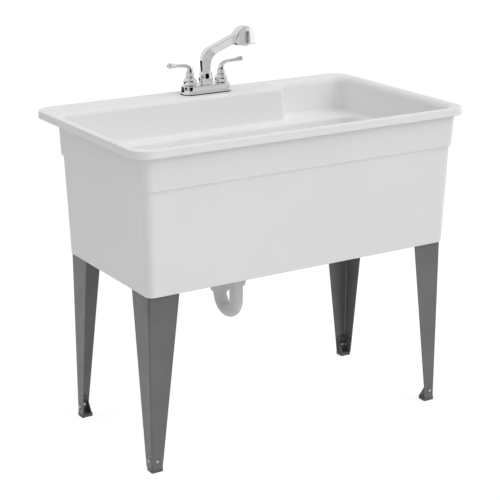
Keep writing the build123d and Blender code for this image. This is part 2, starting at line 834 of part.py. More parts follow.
# ---------------------------------------------------------------- tap: base, gasket and waterway
with BuildPart() as tap_gasket:
    with BuildSketch(Plane.XY.offset(rim_height)):
        with Locations((0, tap_y)):
            RectangleRounded(base_length + 2 * gasket_margin, base_depth + 2 * gasket_margin,
                             base_corner + gasket_margin)
            with Locations(*[(side * tap_spacing / 2, 0) for side in valve_places.values()]):
                Circle(shank_hole_radius, mode=Mode.SUBTRACT)
    extrude(amount=gasket_thickness)
save(tap_gasket, "tap_gasket")


def base_outline(height, inset):
    """The base plate's outline at a height, drawn in by an inset all round."""
    with BuildSketch(Plane.XY.offset(height)) as outline:
        with Locations((0, tap_y)):
            RectangleRounded(base_length - 2 * inset, base_depth - 2 * inset, base_corner - inset)
    return outline.sketch


with BuildPart() as tap_base:
    loft([base_outline(plate_z, 0), base_outline(base_top_z, base_draft)])
    fillet(tap_base.faces().sort_by(Axis.Z)[-1].edges(), base_edge_round)
    loft([
        base_outline(plate_z, base_wall),
        base_outline(base_top_z - base_wall, base_wall + base_draft),
    ], mode=Mode.SUBTRACT)
    with Locations((0, tap_y, 0)):
        add(ring(boss_radius + running_gap, 0, plate_z, base_top_z + past), mode=Mode.SUBTRACT)
    for side in valve_places.values():
        with Locations((side * tap_spacing / 2, tap_y, 0)):
            add(ring(valve_neck_radius + running_gap, 0, plate_z, base_top_z + past), mode=Mode.SUBTRACT)
save(tap_base, "tap_base")

base_under_z = base_top_z - base_wall
valve_z = plate_z + valve_bottom_gap
neck_top_z = base_top_z + valve_neck_height
waterway_z = rim_height + waterway_height
stem_z = base_top_z - stem_depth
shank_end_z = rim_height - shank_length

with BuildPart() as tap_waterway:
    # a boss in the middle for the spout, with a tube out to each valve
    with Locations((0, tap_y, 0)):
        add(ring(boss_radius, 0, valve_z, boss_top_z))
    with BuildSketch(Plane.YZ.offset(-tap_spacing / 2)):
        with Locations((tap_y, waterway_z)):
            Circle(waterway_radius)
    extrude(amount=tap_spacing)
    for side in valve_places.values():
        with Locations((side * tap_spacing / 2, tap_y, 0)):
            add(ring(valve_radius, 0, valve_z - past, base_top_z), mode=Mode.SUBTRACT)
    with BuildSketch(Plane.YZ.offset(-tap_spacing / 2)):
        with Locations((tap_y, waterway_z)):
            Circle(waterway_bore)
    extrude(amount=tap_spacing, mode=Mode.SUBTRACT)
    with Locations((0, tap_y, 0)):
        add(ring(spout_stub_radius + running_fit, 0, waterway_z - waterway_bore, boss_top_z + past),
            mode=Mode.SUBTRACT)
save(tap_waterway, "tap_waterway")


# ---------------------------------------------------------------- tap: the two valves and their handles
def make_valve(side):
    """A brass valve body: shank through the deck, body inside the base, neck through its top."""
    with BuildPart() as valve:
        with Locations((side * tap_spacing / 2, tap_y, 0)):
            add(turned(
                (shank_bore, shank_end_z),
                (supply_end_radius, shank_end_z),
                (supply_end_radius, shank_end_z + supply_end_length),
                (shank_radius, shank_end_z + supply_end_length),
                (shank_radius, valve_z),
                (valve_radius, valve_z),
                (valve_radius, base_under_z),
                (valve_neck_radius, base_under_z),
                (valve_neck_radius, neck_top_z),
                (stem_radius + running_fit, neck_top_z),
                (stem_radius + running_fit, stem_z),
                (shank_bore, stem_z),
            ))
        with BuildSketch(Plane.YZ.offset(0)):
            with Locations((tap_y, waterway_z)):
                Circle(waterway_bore)
        extrude(amount=side * tap_spacing / 2, mode=Mode.SUBTRACT)
    return valve


def make_bonnet(side):
    """The bell that screws over a valve's neck."""
    level = base_top_z
    with BuildPart() as bonnet:
        with BuildSketch(Plane.XZ):
            with BuildLine():
                Polyline(
                    (0, level),
                    (bonnet_foot_radius, level),
                    (bonnet_foot_radius, level + bonnet_foot_height),
                )
                Spline(
                    (bonnet_foot_radius, level + bonnet_foot_height),
                    (bonnet_radius, level + bonnet_bulge_height),
                    (bonnet_waist_radius, level + bonnet_waist_height),
                    tangents=[(0.6, 1), (-0.8, 1)],
                )
                Polyline(
                    (bonnet_waist_radius, level + bonnet_waist_height),
                    (bonnet_top_radius, bonnet_top_z),
                    (0, bonnet_top_z),
                    (0, level),
                )
            make_face()
        revolve(axis=Axis.Z)
        add(ring(valve_neck_radius + thread_gap, 0, level, neck_top_z + running_gap), mode=Mode.SUBTRACT)
        add(ring(stem_radius + running_fit, 0, level, bonnet_top_z + past), mode=Mode.SUBTRACT)
    return bonnet.part.moved(Location((side * tap_spacing / 2, tap_y, 0)))


def make_stem(side):
    """The valve's stem, from its seat up into the handle."""
    with BuildPart() as stem:
        with Locations((side * tap_spacing / 2, tap_y, 0)):
            add(ring(stem_radius, 0, stem_z, stem_top_z))
    return stem


def make_handle(side):
    """A lever handle: a beaded neck over the stem that bends outwards into a flared lever."""
    x = side * tap_spacing / 2
    foot = bonnet_top_z + running_gap
    neck_top = foot + handle_neck_height
    lever_z = bonnet_top_z + handle_rise
    tip = (x + side * lever_length, tap_y, lever_z + lever_climb)
    flare = (x + side * (lever_length - lever_tip_length), tap_y,
             lever_z + lever_climb * (1 - lever_tip_length / lever_length))
    with BuildPart() as handle:
        with Locations((x, tap_y, 0)):
            add(turned(
                (0, foot),
                (handle_neck_radius, foot),
                (handle_bead_radius, foot + handle_bead / 2),
                (handle_neck_radius, foot + handle_bead),
                (handle_neck_radius, neck_top - handle_bead),
                (handle_bead_radius, neck_top - handle_bead / 2),
                (handle_neck_radius, neck_top),
                (handle_tube_radius, neck_top + handle_bead / 2),
                (0, neck_top + handle_bead / 2),
            ))
        with BuildLine() as route:
            FilletPolyline((x, tap_y, neck_top), (x, tap_y, lever_z), tip, radius=handle_bend_radius)
        with BuildSketch(Plane((x, tap_y, neck_top))):
            Circle(handle_tube_radius)
        sweep()
        # flared end: a cone that grows to the tip, with a rounded nose
        along = Plane(flare, x_dir=(0, 1, 0), z_dir=Vector(tip) - Vector(flare))
        length = (Vector(tip) - Vector(flare)).length - lever_nose
        with BuildPart(mode=Mode.PRIVATE) as end:
            with BuildSketch(Plane.XZ):
                with BuildLine():
                    Line((0, 0), (lever_waist_radius, 0))
                    Spline(
                        (lever_waist_radius, 0),
                        (lever_tip_radius, length),
                        (0, length + lever_nose),
                        tangents=[(0.05, 1), (-1, 0)],
                    )
                    Line((0, length + lever_nose), (0, 0))
                make_face()
            revolve(axis=Axis.Z)
        add(end.part.moved(along.location))
        # hole for the stem, and the set screw's hole through the neck's back
        with Locations((x, tap_y, 0)):
            add(ring(stem_radius, 0, foot - past, stem_top_z), mode=Mode.SUBTRACT)
        with BuildSketch(Plane((x, tap_y + stem_radius, foot + handle_screw_rise), z_dir=(0, 1, 0))):
            Circle(handle_screw_radius)
        extrude(amount=handle_bead_radius, mode=Mode.SUBTRACT)
    return handle


def make_handle_screw(side):
    """The set screw that holds a handle on its stem, with a hexagon socket."""
    level = bonnet_top_z + running_gap + handle_screw_rise
    with BuildPart() as screw:
        face = Plane((side * tap_spacing / 2, tap_y + stem_radius, level), z_dir=(0, 1, 0))
        with BuildSketch(face):
            Circle(handle_screw_radius)
        extrude(amount=handle_screw_length)
        with BuildSketch(face.offset(handle_screw_length)):
            RegularPolygon(handle_screw_radius / 2, 6)
        extrude(amount=-handle_screw_length / 2, mode=Mode.SUBTRACT)
    return screw


stem_top_z = bonnet_top_z + handle_neck_height
for name, side in valve_places.items():
    save(make_valve(side), name + "_valve")
    save(make_stem(side), name + "_stem")
    save(make_handle(side), name + "_handle")
    save(make_handle_screw(side), name + "_handle_screw")
    with BuildPart() as bonnet:
        add(make_bonnet(side))
    save(bonnet, name + "_bonnet")

with BuildPart() as mounting_washers:
    for side in valve_places.values():
        with Locations((side * tap_spacing / 2, tap_y, 0)):
            add(ring(mount_washer_radius, shank_radius + thread_gap,
                     deck_under_z - mount_washer_thickness, deck_under_z))
save(mounting_washers, "mounting_washers")

with BuildPart() as mounting_nuts:
    nut_z = deck_under_z - mount_washer_thickness - mount_nut_height
    for side in valve_places.values():
        with BuildSketch(Plane.XY.offset(nut_z)):
            with Locations((side * tap_spacing / 2, tap_y)):
                Circle(mount_nut_radius)
                Rectangle(2 * (mount_nut_radius + wing_length), wing_thickness)
                Circle(shank_radius + thread_gap, mode=Mode.SUBTRACT)
        extrude(amount=mount_nut_height)
save(mounting_nuts, "mounting_nuts")


# ---------------------------------------------------------------- tap: the swing spout
def spout_section(x, level, slope, depth, width, corner):
    """The spout's section where its centre line passes a point at a slope, in degrees above level."""
    direction = (math.cos(math.radians(slope)), 0, math.sin(math.radians(slope)))
    with BuildSketch(Plane((x, tap_y, level), x_dir=(0, 1, 0), z_dir=direction)) as section:
        RectangleRounded(width, depth, corner)
    return section.sketch


with BuildPart() as spout_nut:
    cavity_top = boss_top_z + ring_seat_rise + ring_height + running_gap
    with BuildSketch(Plane.XZ.offset(-tap_y)):
        with BuildLine():
            Polyline((0, base_top_z), (hub_foot_radius, base_top_z))
            Spline(
                (hub_foot_radius, base_top_z),
                (hub_radius, base_top_z + hub_bulge_height),
                (hub_top_radius, hub_top_z),
                tangents=[(0.15, 1), (-0.5, 1)],
            )
            Polyline((hub_top_radius, hub_top_z), (0, hub_top_z), (0, base_top_z))
        make_face()
    revolve(axis=Axis((0, tap_y, 0), (0, 0, 1)))
    with Locations((0, tap_y, 0)):
        add(ring(boss_radius + thread_gap, 0, base_top_z, boss_top_z + running_gap), mode=Mode.SUBTRACT)
        add(ring(ring_radius + running_gap, 0, boss_top_z, cavity_top), mode=Mode.SUBTRACT)
        add(ring(spout_neck_radius + running_fit, 0, boss_top_z, hub_top_z + past), mode=Mode.SUBTRACT)
save(spout_nut, "spout_nut")

riser_z = hub_top_z + running_gap
arm_end_z = hub_top_z + arm_start_rise + (arm_reach - arm_start_x) * math.tan(math.radians(arm_slope))
head_z = arm_end_z - head_drop
ring_low = boss_top_z + ring_seat_rise
stub_low = spout_foot_z - spout_stub_length
aerator_x = arm_reach + aerator_place

def make_spout_head():
    """The domed block at the end of the arm, with its edges rounded."""
    with BuildPart() as head:
        with BuildSketch(Plane.XZ.offset(-tap_y - head_width / 2)):
            with BuildLine():
                Polyline(
                    (arm_reach + head_length, head_z),
                    (arm_reach, head_z),
                    (arm_reach, head_z + head_shoulder),
                )
                Spline(
                    (arm_reach, head_z + head_shoulder),
                    (arm_reach + head_crown, head_z + head_height),
                    (arm_reach + head_length, head_z),
                    tangents=[(0, 1), (0.12, -1)],
                )
            make_face()
        extrude(amount=head_width)
        rounding = head.edges().filter_by(
            lambda edge: abs(abs(edge.center().Y - tap_y) - head_width / 2) < touch
            and edge.center().Z > head_z + past
        )
        fillet(rounding, head_side_round)
    return head.part


with BuildPart() as spout:
    # riser, bend and arm
    loft([
        spout_section(0, riser_z, 90, 2 * spout_base_radius, 2 * spout_base_radius, spout_base_radius - least_flat),
        spout_section(0, riser_z + spout_riser_height, riser_angle, riser_depth, riser_width, 2 * section_corner),
        spout_section(turn_x, hub_top_z + turn_rise, turn_angle, riser_depth, riser_width, section_corner),
        spout_section(bend_x, hub_top_z + bend_rise, bend_angle, bend_depth, bend_width, section_corner),
        spout_section(arm_start_x, hub_top_z + arm_start_rise, arm_slope, arm_start_depth, arm_width,
                      section_corner),
        spout_section(arm_reach + head_side_round, arm_end_z + head_side_round * math.tan(
            math.radians(arm_slope)), arm_slope, arm_end_depth, arm_width, section_corner),
    ], ruled=True)
    add(make_spout_head())
    # neck with the snap ring's groove, and the stub down into the waterway
    with Locations((0, tap_y, 0)):
        add(turned(
            (0, stub_low),
            (spout_stub_radius, stub_low),
            (spout_stub_radius, stub_low + o_ring_rise),
            (spout_stub_radius - 2 * o_ring_section, stub_low + o_ring_rise),
            (spout_stub_radius - 2 * o_ring_section, stub_low + o_ring_rise + 2 * o_ring_section),
            (spout_stub_radius, stub_low + o_ring_rise + 2 * o_ring_section),
            (spout_stub_radius, spout_foot_z),
            (spout_neck_radius, spout_foot_z),
            (spout_neck_radius, ring_low),
            (ring_seat_radius, ring_low),
            (ring_seat_radius, ring_low + ring_height),
            (spout_neck_radius, ring_low + ring_height),
            (spout_neck_radius, riser_z + past),
            (0, riser_z + past),
        ))
    # the water's way from the stub to the aerator
    water_turn_z = hub_top_z + arm_start_rise - arm_start_x * math.tan(math.radians(arm_slope))
    water_end = aerator_x + spout_bore
    with BuildLine() as water:
        FilletPolyline(
            (0, tap_y, stub_low),
            (0, tap_y, water_turn_z),
            (water_end, tap_y, water_turn_z + water_end * math.tan(math.radians(arm_slope))),
            radius=riser_width,
        )
    with BuildSketch(Plane((0, tap_y, stub_low))):
        Circle(spout_bore)
    sweep(mode=Mode.SUBTRACT)
    seat_top = head_z + aerator_height - aerator_proud
    with Locations((aerator_x, tap_y, 0)):
        add(ring(aerator_radius + thread_gap, 0, head_z - past, seat_top), mode=Mode.SUBTRACT)
        add(ring(aerator_bore, 0, head_z, arm_end_z + spout_bore), mode=Mode.SUBTRACT)
save(spout, "spout")

with BuildPart() as spout_ring:
    with BuildSketch(Plane.XY.offset(ring_low)):
        with Locations((0, tap_y)):
            Circle(ring_radius)
            Circle(ring_seat_radius, mode=Mode.SUBTRACT)
            with Locations((-ring_radius, 0)):
                Rectangle(ring_radius, ring_slot, mode=Mode.SUBTRACT)
    extrude(amount=ring_height)
save(spout_ring, "spout_ring")

with BuildPart() as spout_o_ring:
    with Locations((0, tap_y, stub_low + o_ring_rise + o_ring_section)):
        Torus(spout_stub_radius - o_ring_section, o_ring_section)
save(spout_o_ring, "spout_o_ring")

with BuildPart() as aerator:
    low = head_z - aerator_proud
    with Locations((aerator_x, tap_y, 0)):
        add(turned(
            (aerator_bore, low),
            (aerator_radius - aerator_chamfer, low),
            (aerator_radius, low + aerator_chamfer),
            (aerator_radius, seat_top),
            (aerator_bore - aerator_inner_lip, seat_top),
            (aerator_bore - aerator_inner_lip, low + screen_seat + screen_thickness),
            (aerator_bore, low + screen_seat + screen_thickness),
        ))
save(aerator, "aerator")

with BuildPart() as aerator_screen:
    with BuildSketch(Plane.XY.offset(head_z - aerator_proud + screen_seat)):
        with Locations((aerator_x, tap_y)):
            Circle(aerator_bore)
            across = int(aerator_bore / screen_pitch)
            for row in range(-across, across + 1):
                for column in range(-across, across + 1):
                    x = (column + 0.5 * (row % 2)) * screen_pitch
                    y = row * screen_pitch * math.sqrt(3) / 2
                    if math.hypot(x, y) < aerator_bore - 2 * screen_hole_radius:
                        with Locations((x, y)):
                            Circle(screen_hole_radius, mode=Mode.SUBTRACT)
    extrude(amount=screen_thickness)
save(aerator_screen, "aerator_screen")
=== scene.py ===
import json
import math

import bmesh
import bpy
import numpy as np
from mathutils import Matrix, Vector


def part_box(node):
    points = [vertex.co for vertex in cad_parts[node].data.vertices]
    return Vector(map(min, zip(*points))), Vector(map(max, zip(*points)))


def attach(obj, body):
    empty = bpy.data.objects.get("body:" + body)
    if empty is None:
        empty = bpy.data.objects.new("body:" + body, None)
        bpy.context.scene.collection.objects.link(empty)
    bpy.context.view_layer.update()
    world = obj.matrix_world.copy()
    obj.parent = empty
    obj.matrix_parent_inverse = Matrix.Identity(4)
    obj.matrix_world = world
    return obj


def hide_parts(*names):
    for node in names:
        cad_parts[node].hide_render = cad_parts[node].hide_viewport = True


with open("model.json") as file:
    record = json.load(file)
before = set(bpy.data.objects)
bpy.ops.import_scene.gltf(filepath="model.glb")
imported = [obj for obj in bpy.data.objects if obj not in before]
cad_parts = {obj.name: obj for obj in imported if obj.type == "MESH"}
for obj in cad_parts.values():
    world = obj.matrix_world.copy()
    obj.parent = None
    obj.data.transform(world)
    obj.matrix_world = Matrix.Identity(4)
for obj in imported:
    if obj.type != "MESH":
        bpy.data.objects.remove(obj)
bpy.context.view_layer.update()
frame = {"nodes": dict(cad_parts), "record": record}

bl_info = {
    "name": "Laundry Sink",
    "version": (1, 0, 0),
    "blender": (4, 5, 0),
    "location": "3D View > Sidebar > Laundry Sink",
    "description": "Dresses a moulded laundry tub on angle legs with its tap and trap",
    "category": "Object",
}

SINK = "sink"

# ---------------------------------------------------------------- places taken from the frame, in metres
TUB_LOW, TUB_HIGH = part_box("tub_basin")
RIM_X = TUB_HIGH.x
RIM_Y = TUB_HIGH.y
RIM_Z = TUB_HIGH.z
SKIRT_Z = TUB_LOW.z
BASE_LOW, BASE_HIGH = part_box("tap_base")
TAP_Y = (BASE_LOW.y + BASE_HIGH.y) / 2
HUB_LOW, HUB_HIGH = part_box("spout_nut")
DRAIN_LOW, DRAIN_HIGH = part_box("drain_flange")
DRAIN_X = (DRAIN_LOW.x + DRAIN_HIGH.x) / 2
DRAIN_Y = (DRAIN_LOW.y + DRAIN_HIGH.y) / 2
VALVES = {"hot": -1, "cold": 1}
CORNERS = ("front_left", "front_right", "rear_left", "rear_right")


# ---------------------------------------------------------------- settings a user would change
def length(name, text, default):
    """A property for a length, shown in the scene's unit."""
    return bpy.props.FloatProperty(name=name, description=text, default=default, unit="LENGTH", precision=4)


def paint(name, text, default):
    """A property for a surface colour."""
    return bpy.props.FloatVectorProperty(name=name, description=text, default=default, subtype="COLOR",
                                         size=3, min=0, max=1)


class TubSizes(bpy.types.PropertyGroup):
    rim_corner: length("Rim corner", "Radius of the rim's corners seen from above", 0.052)
    rim_land: length("Rim land", "Width of the flat top between the edge and the inner rounding", 0.013)
    rim_round: length("Rim rounding", "Radius of the rounding from the land into the inner wall", 0.021)
    deck_round: length("Deck rounding", "Radius of the deck's front and right edges", 0.012)
    rim_edge: length("Rim edge", "Radius of the rim's outer top edge", 0.003)
    lip_drop: length("Lip drop", "How far the rim's lip hangs down", 0.0205)
    lip_wall: length("Lip wall", "Thickness of the hanging lip", 0.005)
    plate: length("Deck plate", "Thickness of the deck and rim", 0.006)
    step_drop: length("Step drop", "Rim's top down to the step in the outer wall", 0.1086)
    ledge_drop: length("Ledge drop", "Rim's top down to the ledge", 0.100)
    floor_drop: length("Floor drop", "Rim's top down to the bowl's floor", 0.3306)
    deck_depth: length("Deck depth", "Rim's back edge to the deck's front face", 0.1148)
    deck_end: length("Deck end", "Where the deck stops on its right, from the middle", 0.230)
    mould_round: length("Moulding radius", "Radius of the small edges and corners of the moulding", 0.003)


class SinkColours(bpy.types.PropertyGroup):
    basin: paint("Basin", "White moulded basin", (0.93, 0.93, 0.934))
    legs: paint("Legs", "Powder coat on the legs", (0.145, 0.146, 0.148))
    feet: paint("Feet", "Moulded feet", (0.105, 0.107, 0.110))
    chrome: paint("Chrome", "Chrome plate on the tap", (0.86, 0.86, 0.87))
    pipe: paint("Waste pipe", "White waste pipe", (0.76, 0.765, 0.77))
    brass: paint("Brass", "Bare brass of the valves", (0.68, 0.50, 0.24))
    steel: paint("Steel", "Zinc plated and stainless steel", (0.56, 0.57, 0.58))
    rubber: paint("Rubber", "Black rubber seals", (0.018, 0.018, 0.018))


SETTINGS = {"laundry_tub": TubSizes, "laundry_colours": SinkColours}


# ---------------------------------------------------------------- mesh helpers
def new_piece(name, mesh_data, body=SINK, replaced=()):
    """Links a finished mesh as a piece that rides on a body and stands for some CAD nodes."""
    piece = bpy.data.objects.new(name, mesh_data)
    bpy.context.scene.collection.objects.link(piece)
    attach(piece, body)
    if replaced:
        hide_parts(*replaced)
    return piece


def finished_piece(name, build, slot, body=SINK, replaced=()):
    """Makes a build into a piece with its slot's material and soft normals."""
    piece = new_piece(name, mesh_from(build, name), body, replaced)
    piece.data.materials.append(finish_for(slot))
    soften(piece)


def mesh_from(build, name):
    """A mesh datablock from a bmesh, merged, facing outwards and smooth."""
    bmesh.ops.remove_doubles(build, verts=build.verts, dist=1e-6)
    bmesh.ops.recalc_face_normals(build, faces=build.faces)
    for face in build.faces:
        face.smooth = True
    made = bpy.data.meshes.new(name)
    build.to_mesh(made)
    build.free()
    return made


def baked(piece):
    """The plain mesh that a piece's modifiers make."""
    bpy.context.view_layer.update()
    return bpy.data.meshes.new_from_object(piece.evaluated_get(bpy.context.evaluated_depsgraph_get()))


def soften(piece):
    """Area-weighted normals, so flats look flat beside small rounds."""
    weighted = piece.modifiers.new("weighted", "WEIGHTED_NORMAL")
    weighted.keep_sharp = True
    weighted.weight = 50
    for edge in piece.data.edges:
        edge.use_edge_sharp = False


def bevel(piece, width, sharp):
    """Rounds the edges where a piece turns by more than an angle in degrees."""
    edge = piece.modifiers.new("edges", "BEVEL")
    edge.width = width
    edge.segments = 2
    edge.limit_method = "ANGLE"
    edge.angle_limit = math.radians(sharp)
    edge.harden_normals = True


def bridge(build, rings, loop=False):
    """Joins rings of points, each as long as the next, with four-sided faces."""
    rows = [[build.verts.new(point) for point in ring] for ring in rings]
    pairs = list(zip(rows, rows[1:]))
    if loop:
        pairs.append((rows[-1], rows[0]))
    count = len(rows[0])
    for row, following in pairs:
        for i in range(count):
            j = (i + 1) % count
            build.faces.new((row[i], row[j], following[j], following[i]))
    return rows


def bridge_closed(build, rings):
    """Joins rings of points and closes the first and the last of them."""
    rows = bridge(build, rings)
    build.faces.new(rows[0])
    build.faces.new(list(reversed(rows[-1])))


def arc(centre, radius, start, end, steps):
    """Points on an arc in a plane, from one angle to another in degrees."""
    turns = [math.radians(start + (end - start) * i / steps) for i in range(steps + 1)]
    return [(centre[0] + radius * math.cos(turn), centre[1] + radius * math.sin(turn)) for turn in turns]


# ---------------------------------------------------------------- node helpers
def add_node(tree, kind, inputs=None, **settings):
    """A node with its settings, whose inputs are plain values or other nodes' outputs."""
    node = tree.nodes.new(kind)
    for name, value in settings.items():
        setattr(node, name, value)
    for name, value in (inputs or {}).items():
        if isinstance(value, bpy.types.NodeSocket):
            tree.links.new(value, node.inputs[name])
        else:
            node.inputs[name].default_value = value
    return node


def math_node(tree, operation, first, second):
    """What a Math node makes of two sockets or numbers."""
    return add_node(tree, "ShaderNodeMath", {0: first, 1: second}, operation=operation).outputs[0]


def vector_node(tree, **parts):
    """A vector whose parts are given by sockets or numbers."""
    return add_node(tree, "ShaderNodeCombineXYZ", parts).outputs[0]


def position_parts(tree):
    """The X, Y and Z of the place of each point in a geometry tree."""
    here = add_node(tree, "GeometryNodeInputPosition")
    return add_node(tree, "ShaderNodeSeparateXYZ", {0: here.outputs[0]}).outputs


# ---------------------------------------------------------------- materials
class Finish:
    """A node material whose details are noises on the piece's own coordinates."""

    def __init__(self, name, setting, roughness, metallic=0.0):
        self.colour = getattr(bpy.context.scene.laundry_colours, setting)
        self.material = bpy.data.materials.new(name)
        self.material.use_nodes = True
        self.material.diffuse_color = (*self.colour, 1)
        self.tree = self.material.node_tree
        self.shader = self.tree.nodes["Principled BSDF"]
        self.plain({"Base Color": (*self.colour, 1), "Roughness": roughness, "Metallic": metallic})

    def plain(self, values):
        """Sets some of the shader's inputs to plain values."""
        for name, value in values.items():
            self.shader.inputs[name].default_value = value

    def noise(self, scale, detail, stretch=(1, 1, 1)):
        """Noise with its scale in features per metre."""
        where = add_node(self.tree, "ShaderNodeTexCoord")
        mapping = add_node(self.tree, "ShaderNodeMapping",
                           {"Vector": where.outputs["Object"], "Scale": stretch})
        noise = add_node(self.tree, "ShaderNodeTexNoise",
                         {"Vector": mapping.outputs["Vector"], "Scale": scale, "Detail": detail})
        return noise.outputs["Fac"]

    def relief(self, noise, strength, depth):
        """Lets a noise raise the surface, with its depth in metres."""
        bump = add_node(self.tree, "ShaderNodeBump",
                        {"Strength": strength, "Distance": depth, "Height": noise})
        self.tree.links.new(bump.outputs["Normal"], self.shader.inputs["Normal"])

    def wander(self, noise, smooth, rough):
        """Lets a noise move the roughness between two values."""
        spread = add_node(self.tree, "ShaderNodeMapRange", {
            "Value": noise, "From Min": 0.3, "From Max": 0.7, "To Min": smooth, "To Max": rough})
        self.tree.links.new(spread.outputs["Result"], self.shader.inputs["Roughness"])

    def tone(self, noise, dark, light):
        """Lets a noise move the colour between two shades of it, given as factors."""
        ramp = add_node(self.tree, "ShaderNodeValToRGB", {"Fac": noise})
        for stop, place, factor in zip(ramp.color_ramp.elements, (0.35, 0.65), (dark, light)):
            stop.position = place
            stop.color = (*(min(1.0, channel * factor) for channel in self.colour), 1)
        self.tree.links.new(ramp.outputs["Color"], self.shader.inputs["Base Color"])


def basin_material():
    """Satin white moulded polymer with the faint pebble of a mould."""
    finish = Finish("basin_polymer", "basin", 0.52)
    finish.plain({"IOR": 1.48, "Specular IOR Level": 0.28, "Subsurface Weight": 0.06,
                  "Subsurface Radius": (0.004, 0.004, 0.004), "Subsurface Scale": 1.0})
    finish.tone(finish.noise(3.0, 2.0), 0.985, 1.01)
    finish.wander(finish.noise(14.0, 4.0), 0.48, 0.58)
    finish.relief(finish.noise(420.0, 2.0), 0.10, 0.0006)
    return finish.material


def leg_material():
    """Grey powder coat: a fine orange peel over a slightly uneven tone."""
    finish = Finish("leg_paint", "legs", 0.42)
    finish.plain({"Coat Weight": 0.15, "Coat Roughness": 0.35})
    finish.tone(finish.noise(9.0, 4.0), 0.92, 1.08)
    finish.wander(finish.noise(60.0, 4.0), 0.36, 0.50)
    finish.relief(finish.noise(900.0, 3.0), 0.25, 0.0004)
    return finish.material


def foot_material():
    """Moulded dark plastic with a dull grain."""
    finish = Finish("foot_plastic", "feet", 0.55)
    finish.tone(finish.noise(60.0, 4.0), 0.85, 1.15)
    finish.relief(finish.noise(1500.0, 2.0), 0.3, 0.0002)
    return finish.material


def chrome_material():
    """Polished chrome with the faintest waviness and smears."""
    finish = Finish("chrome_plate", "chrome", 0.05, 1.0)
    finish.wander(finish.noise(45.0, 5.0), 0.02, 0.07)
    finish.relief(finish.noise(40.0, 1.0), 0.02, 0.0001)
    return finish.material


def pipe_material():
    """White plumbing plastic with a soft sheen and a little warmth of tone."""
    finish = Finish("waste_pipe", "pipe", 0.45)
    finish.tone(finish.noise(18.0, 3.0), 0.97, 1.02)
    finish.wander(finish.noise(80.0, 3.0), 0.38, 0.52)
    finish.relief(finish.noise(600.0, 2.0), 0.1, 0.0003)
    return finish.material


def brass_material():
    """Bare machined brass, turned lightly dull."""
    finish = Finish("machined_brass", "brass", 0.28, 1.0)
    finish.tone(finish.noise(40.0, 4.0), 0.85, 1.1)
    finish.relief(finish.noise(30.0, 2.0, (1, 1, 60)), 0.2, 0.0002)
    return finish.material


def steel_material():
    """Zinc plate with cloudy crystals."""
    finish = Finish("plated_steel", "steel", 0.30, 1.0)
    finish.wander(finish.noise(120.0, 5.0), 0.22, 0.42)
    finish.tone(finish.noise(220.0, 4.0), 0.86, 1.12)
    return finish.material


def rubber_material():
    """Black rubber, matt with a light bloom."""
    finish = Finish("black_rubber", "rubber", 0.75)
    finish.tone(finish.noise(70.0, 4.0), 0.8, 1.6)
    finish.relief(finish.noise(1300.0, 2.0), 0.3, 0.0002)
    return finish.material


FINISHES = {
    "basin_polymer": basin_material,
    "leg_paint": leg_material,
    "foot_plastic": foot_material,
    "chrome": chrome_material,
    "white_pvc": pipe_material,
    "seal_white": pipe_material,
    "brass": brass_material,
    "fastener_steel": steel_material,
    "stainless": steel_material,
    "rubber_black": rubber_material,
    "nut_plastic": foot_material,
}
made_finishes = {}


def finish_for(slot):
    """The material of one of the record's slots, made the first time it is wanted."""
    maker = FINISHES[slot]
    if maker.__name__ not in made_finishes:
        made_finishes[maker.__name__] = maker()
    return made_finishes[maker.__name__]


# ---------------------------------------------------------------- the tub
TURN_STEPS = 10     # faces round each corner seen from above
FOLD_STEPS = 6      # faces round each edge


class TubLine:
    """A closed line round the tub seen from above: points, outward normals and how much of each is deck."""

    def __init__(self, side, front, back, corner, deck=None, deck_end=0.0, end_corner=0.0, pocket_corner=0.0,
                 meeting_corner=None):
        ahead, right, behind, left = (0, -1), (1, 0), (0, 1), (-1, 0)
        face = back if deck is None else deck
        down = behind if deck is None else left
        last = corner if meeting_corner is None else meeting_corner
        corners = (
            ((-side, -front), left, ahead, corner, (0, 0)),
            ((side, -front), ahead, right, corner, (0, 0)),
            ((side, back), right, behind, corner, (0, 0)),
            ((deck_end, back), behind, down, pocket_corner, (0, 1)),
            ((deck_end, face), down, behind, -end_corner, (1, 1)),
            ((-side, face), behind, left, last, (1, 0)),
        )
        self.points = []
        for point, before, after, radius, deck_share in corners:
            before, after = Vector(before), Vector(after)
            centre = Vector(point) - radius * (before + after)
            for step in range(TURN_STEPS + 1):
                turn = math.radians(90 * step / TURN_STEPS)
                normal = (before * math.cos(turn) + after * math.sin(turn)).normalized()
                share = deck_share[0] + (deck_share[1] - deck_share[0]) * step / TURN_STEPS
                self.points.append((centre + radius * normal, normal, share))

    def circle(self, radius, level):
        """A circle round the drain with as many points as the line."""
        return [(DRAIN_X + radius * normal.x, DRAIN_Y + radius * normal.y, level)
                for place, normal, share in self.points]

    def fold(self, level, radius, out, up, start, end, deck_radius=None):
        """Rings round an edge at a height; out and up say on which side of the edge the round's centre is."""
        rings = []
        for step in range(FOLD_STEPS + 1):
            angle = math.radians(start + (end - start) * step / FOLD_STEPS)
            ring = []
            for place, normal, share in self.points:
                bend = radius + ((deck_radius or radius) - radius) * share
                grow = bend * (out + math.cos(angle))
                ring.append((place.x + normal.x * grow, place.y + normal.y * grow,
                             level + bend * (up + math.sin(angle))))
            rings.append(ring)
        return rings


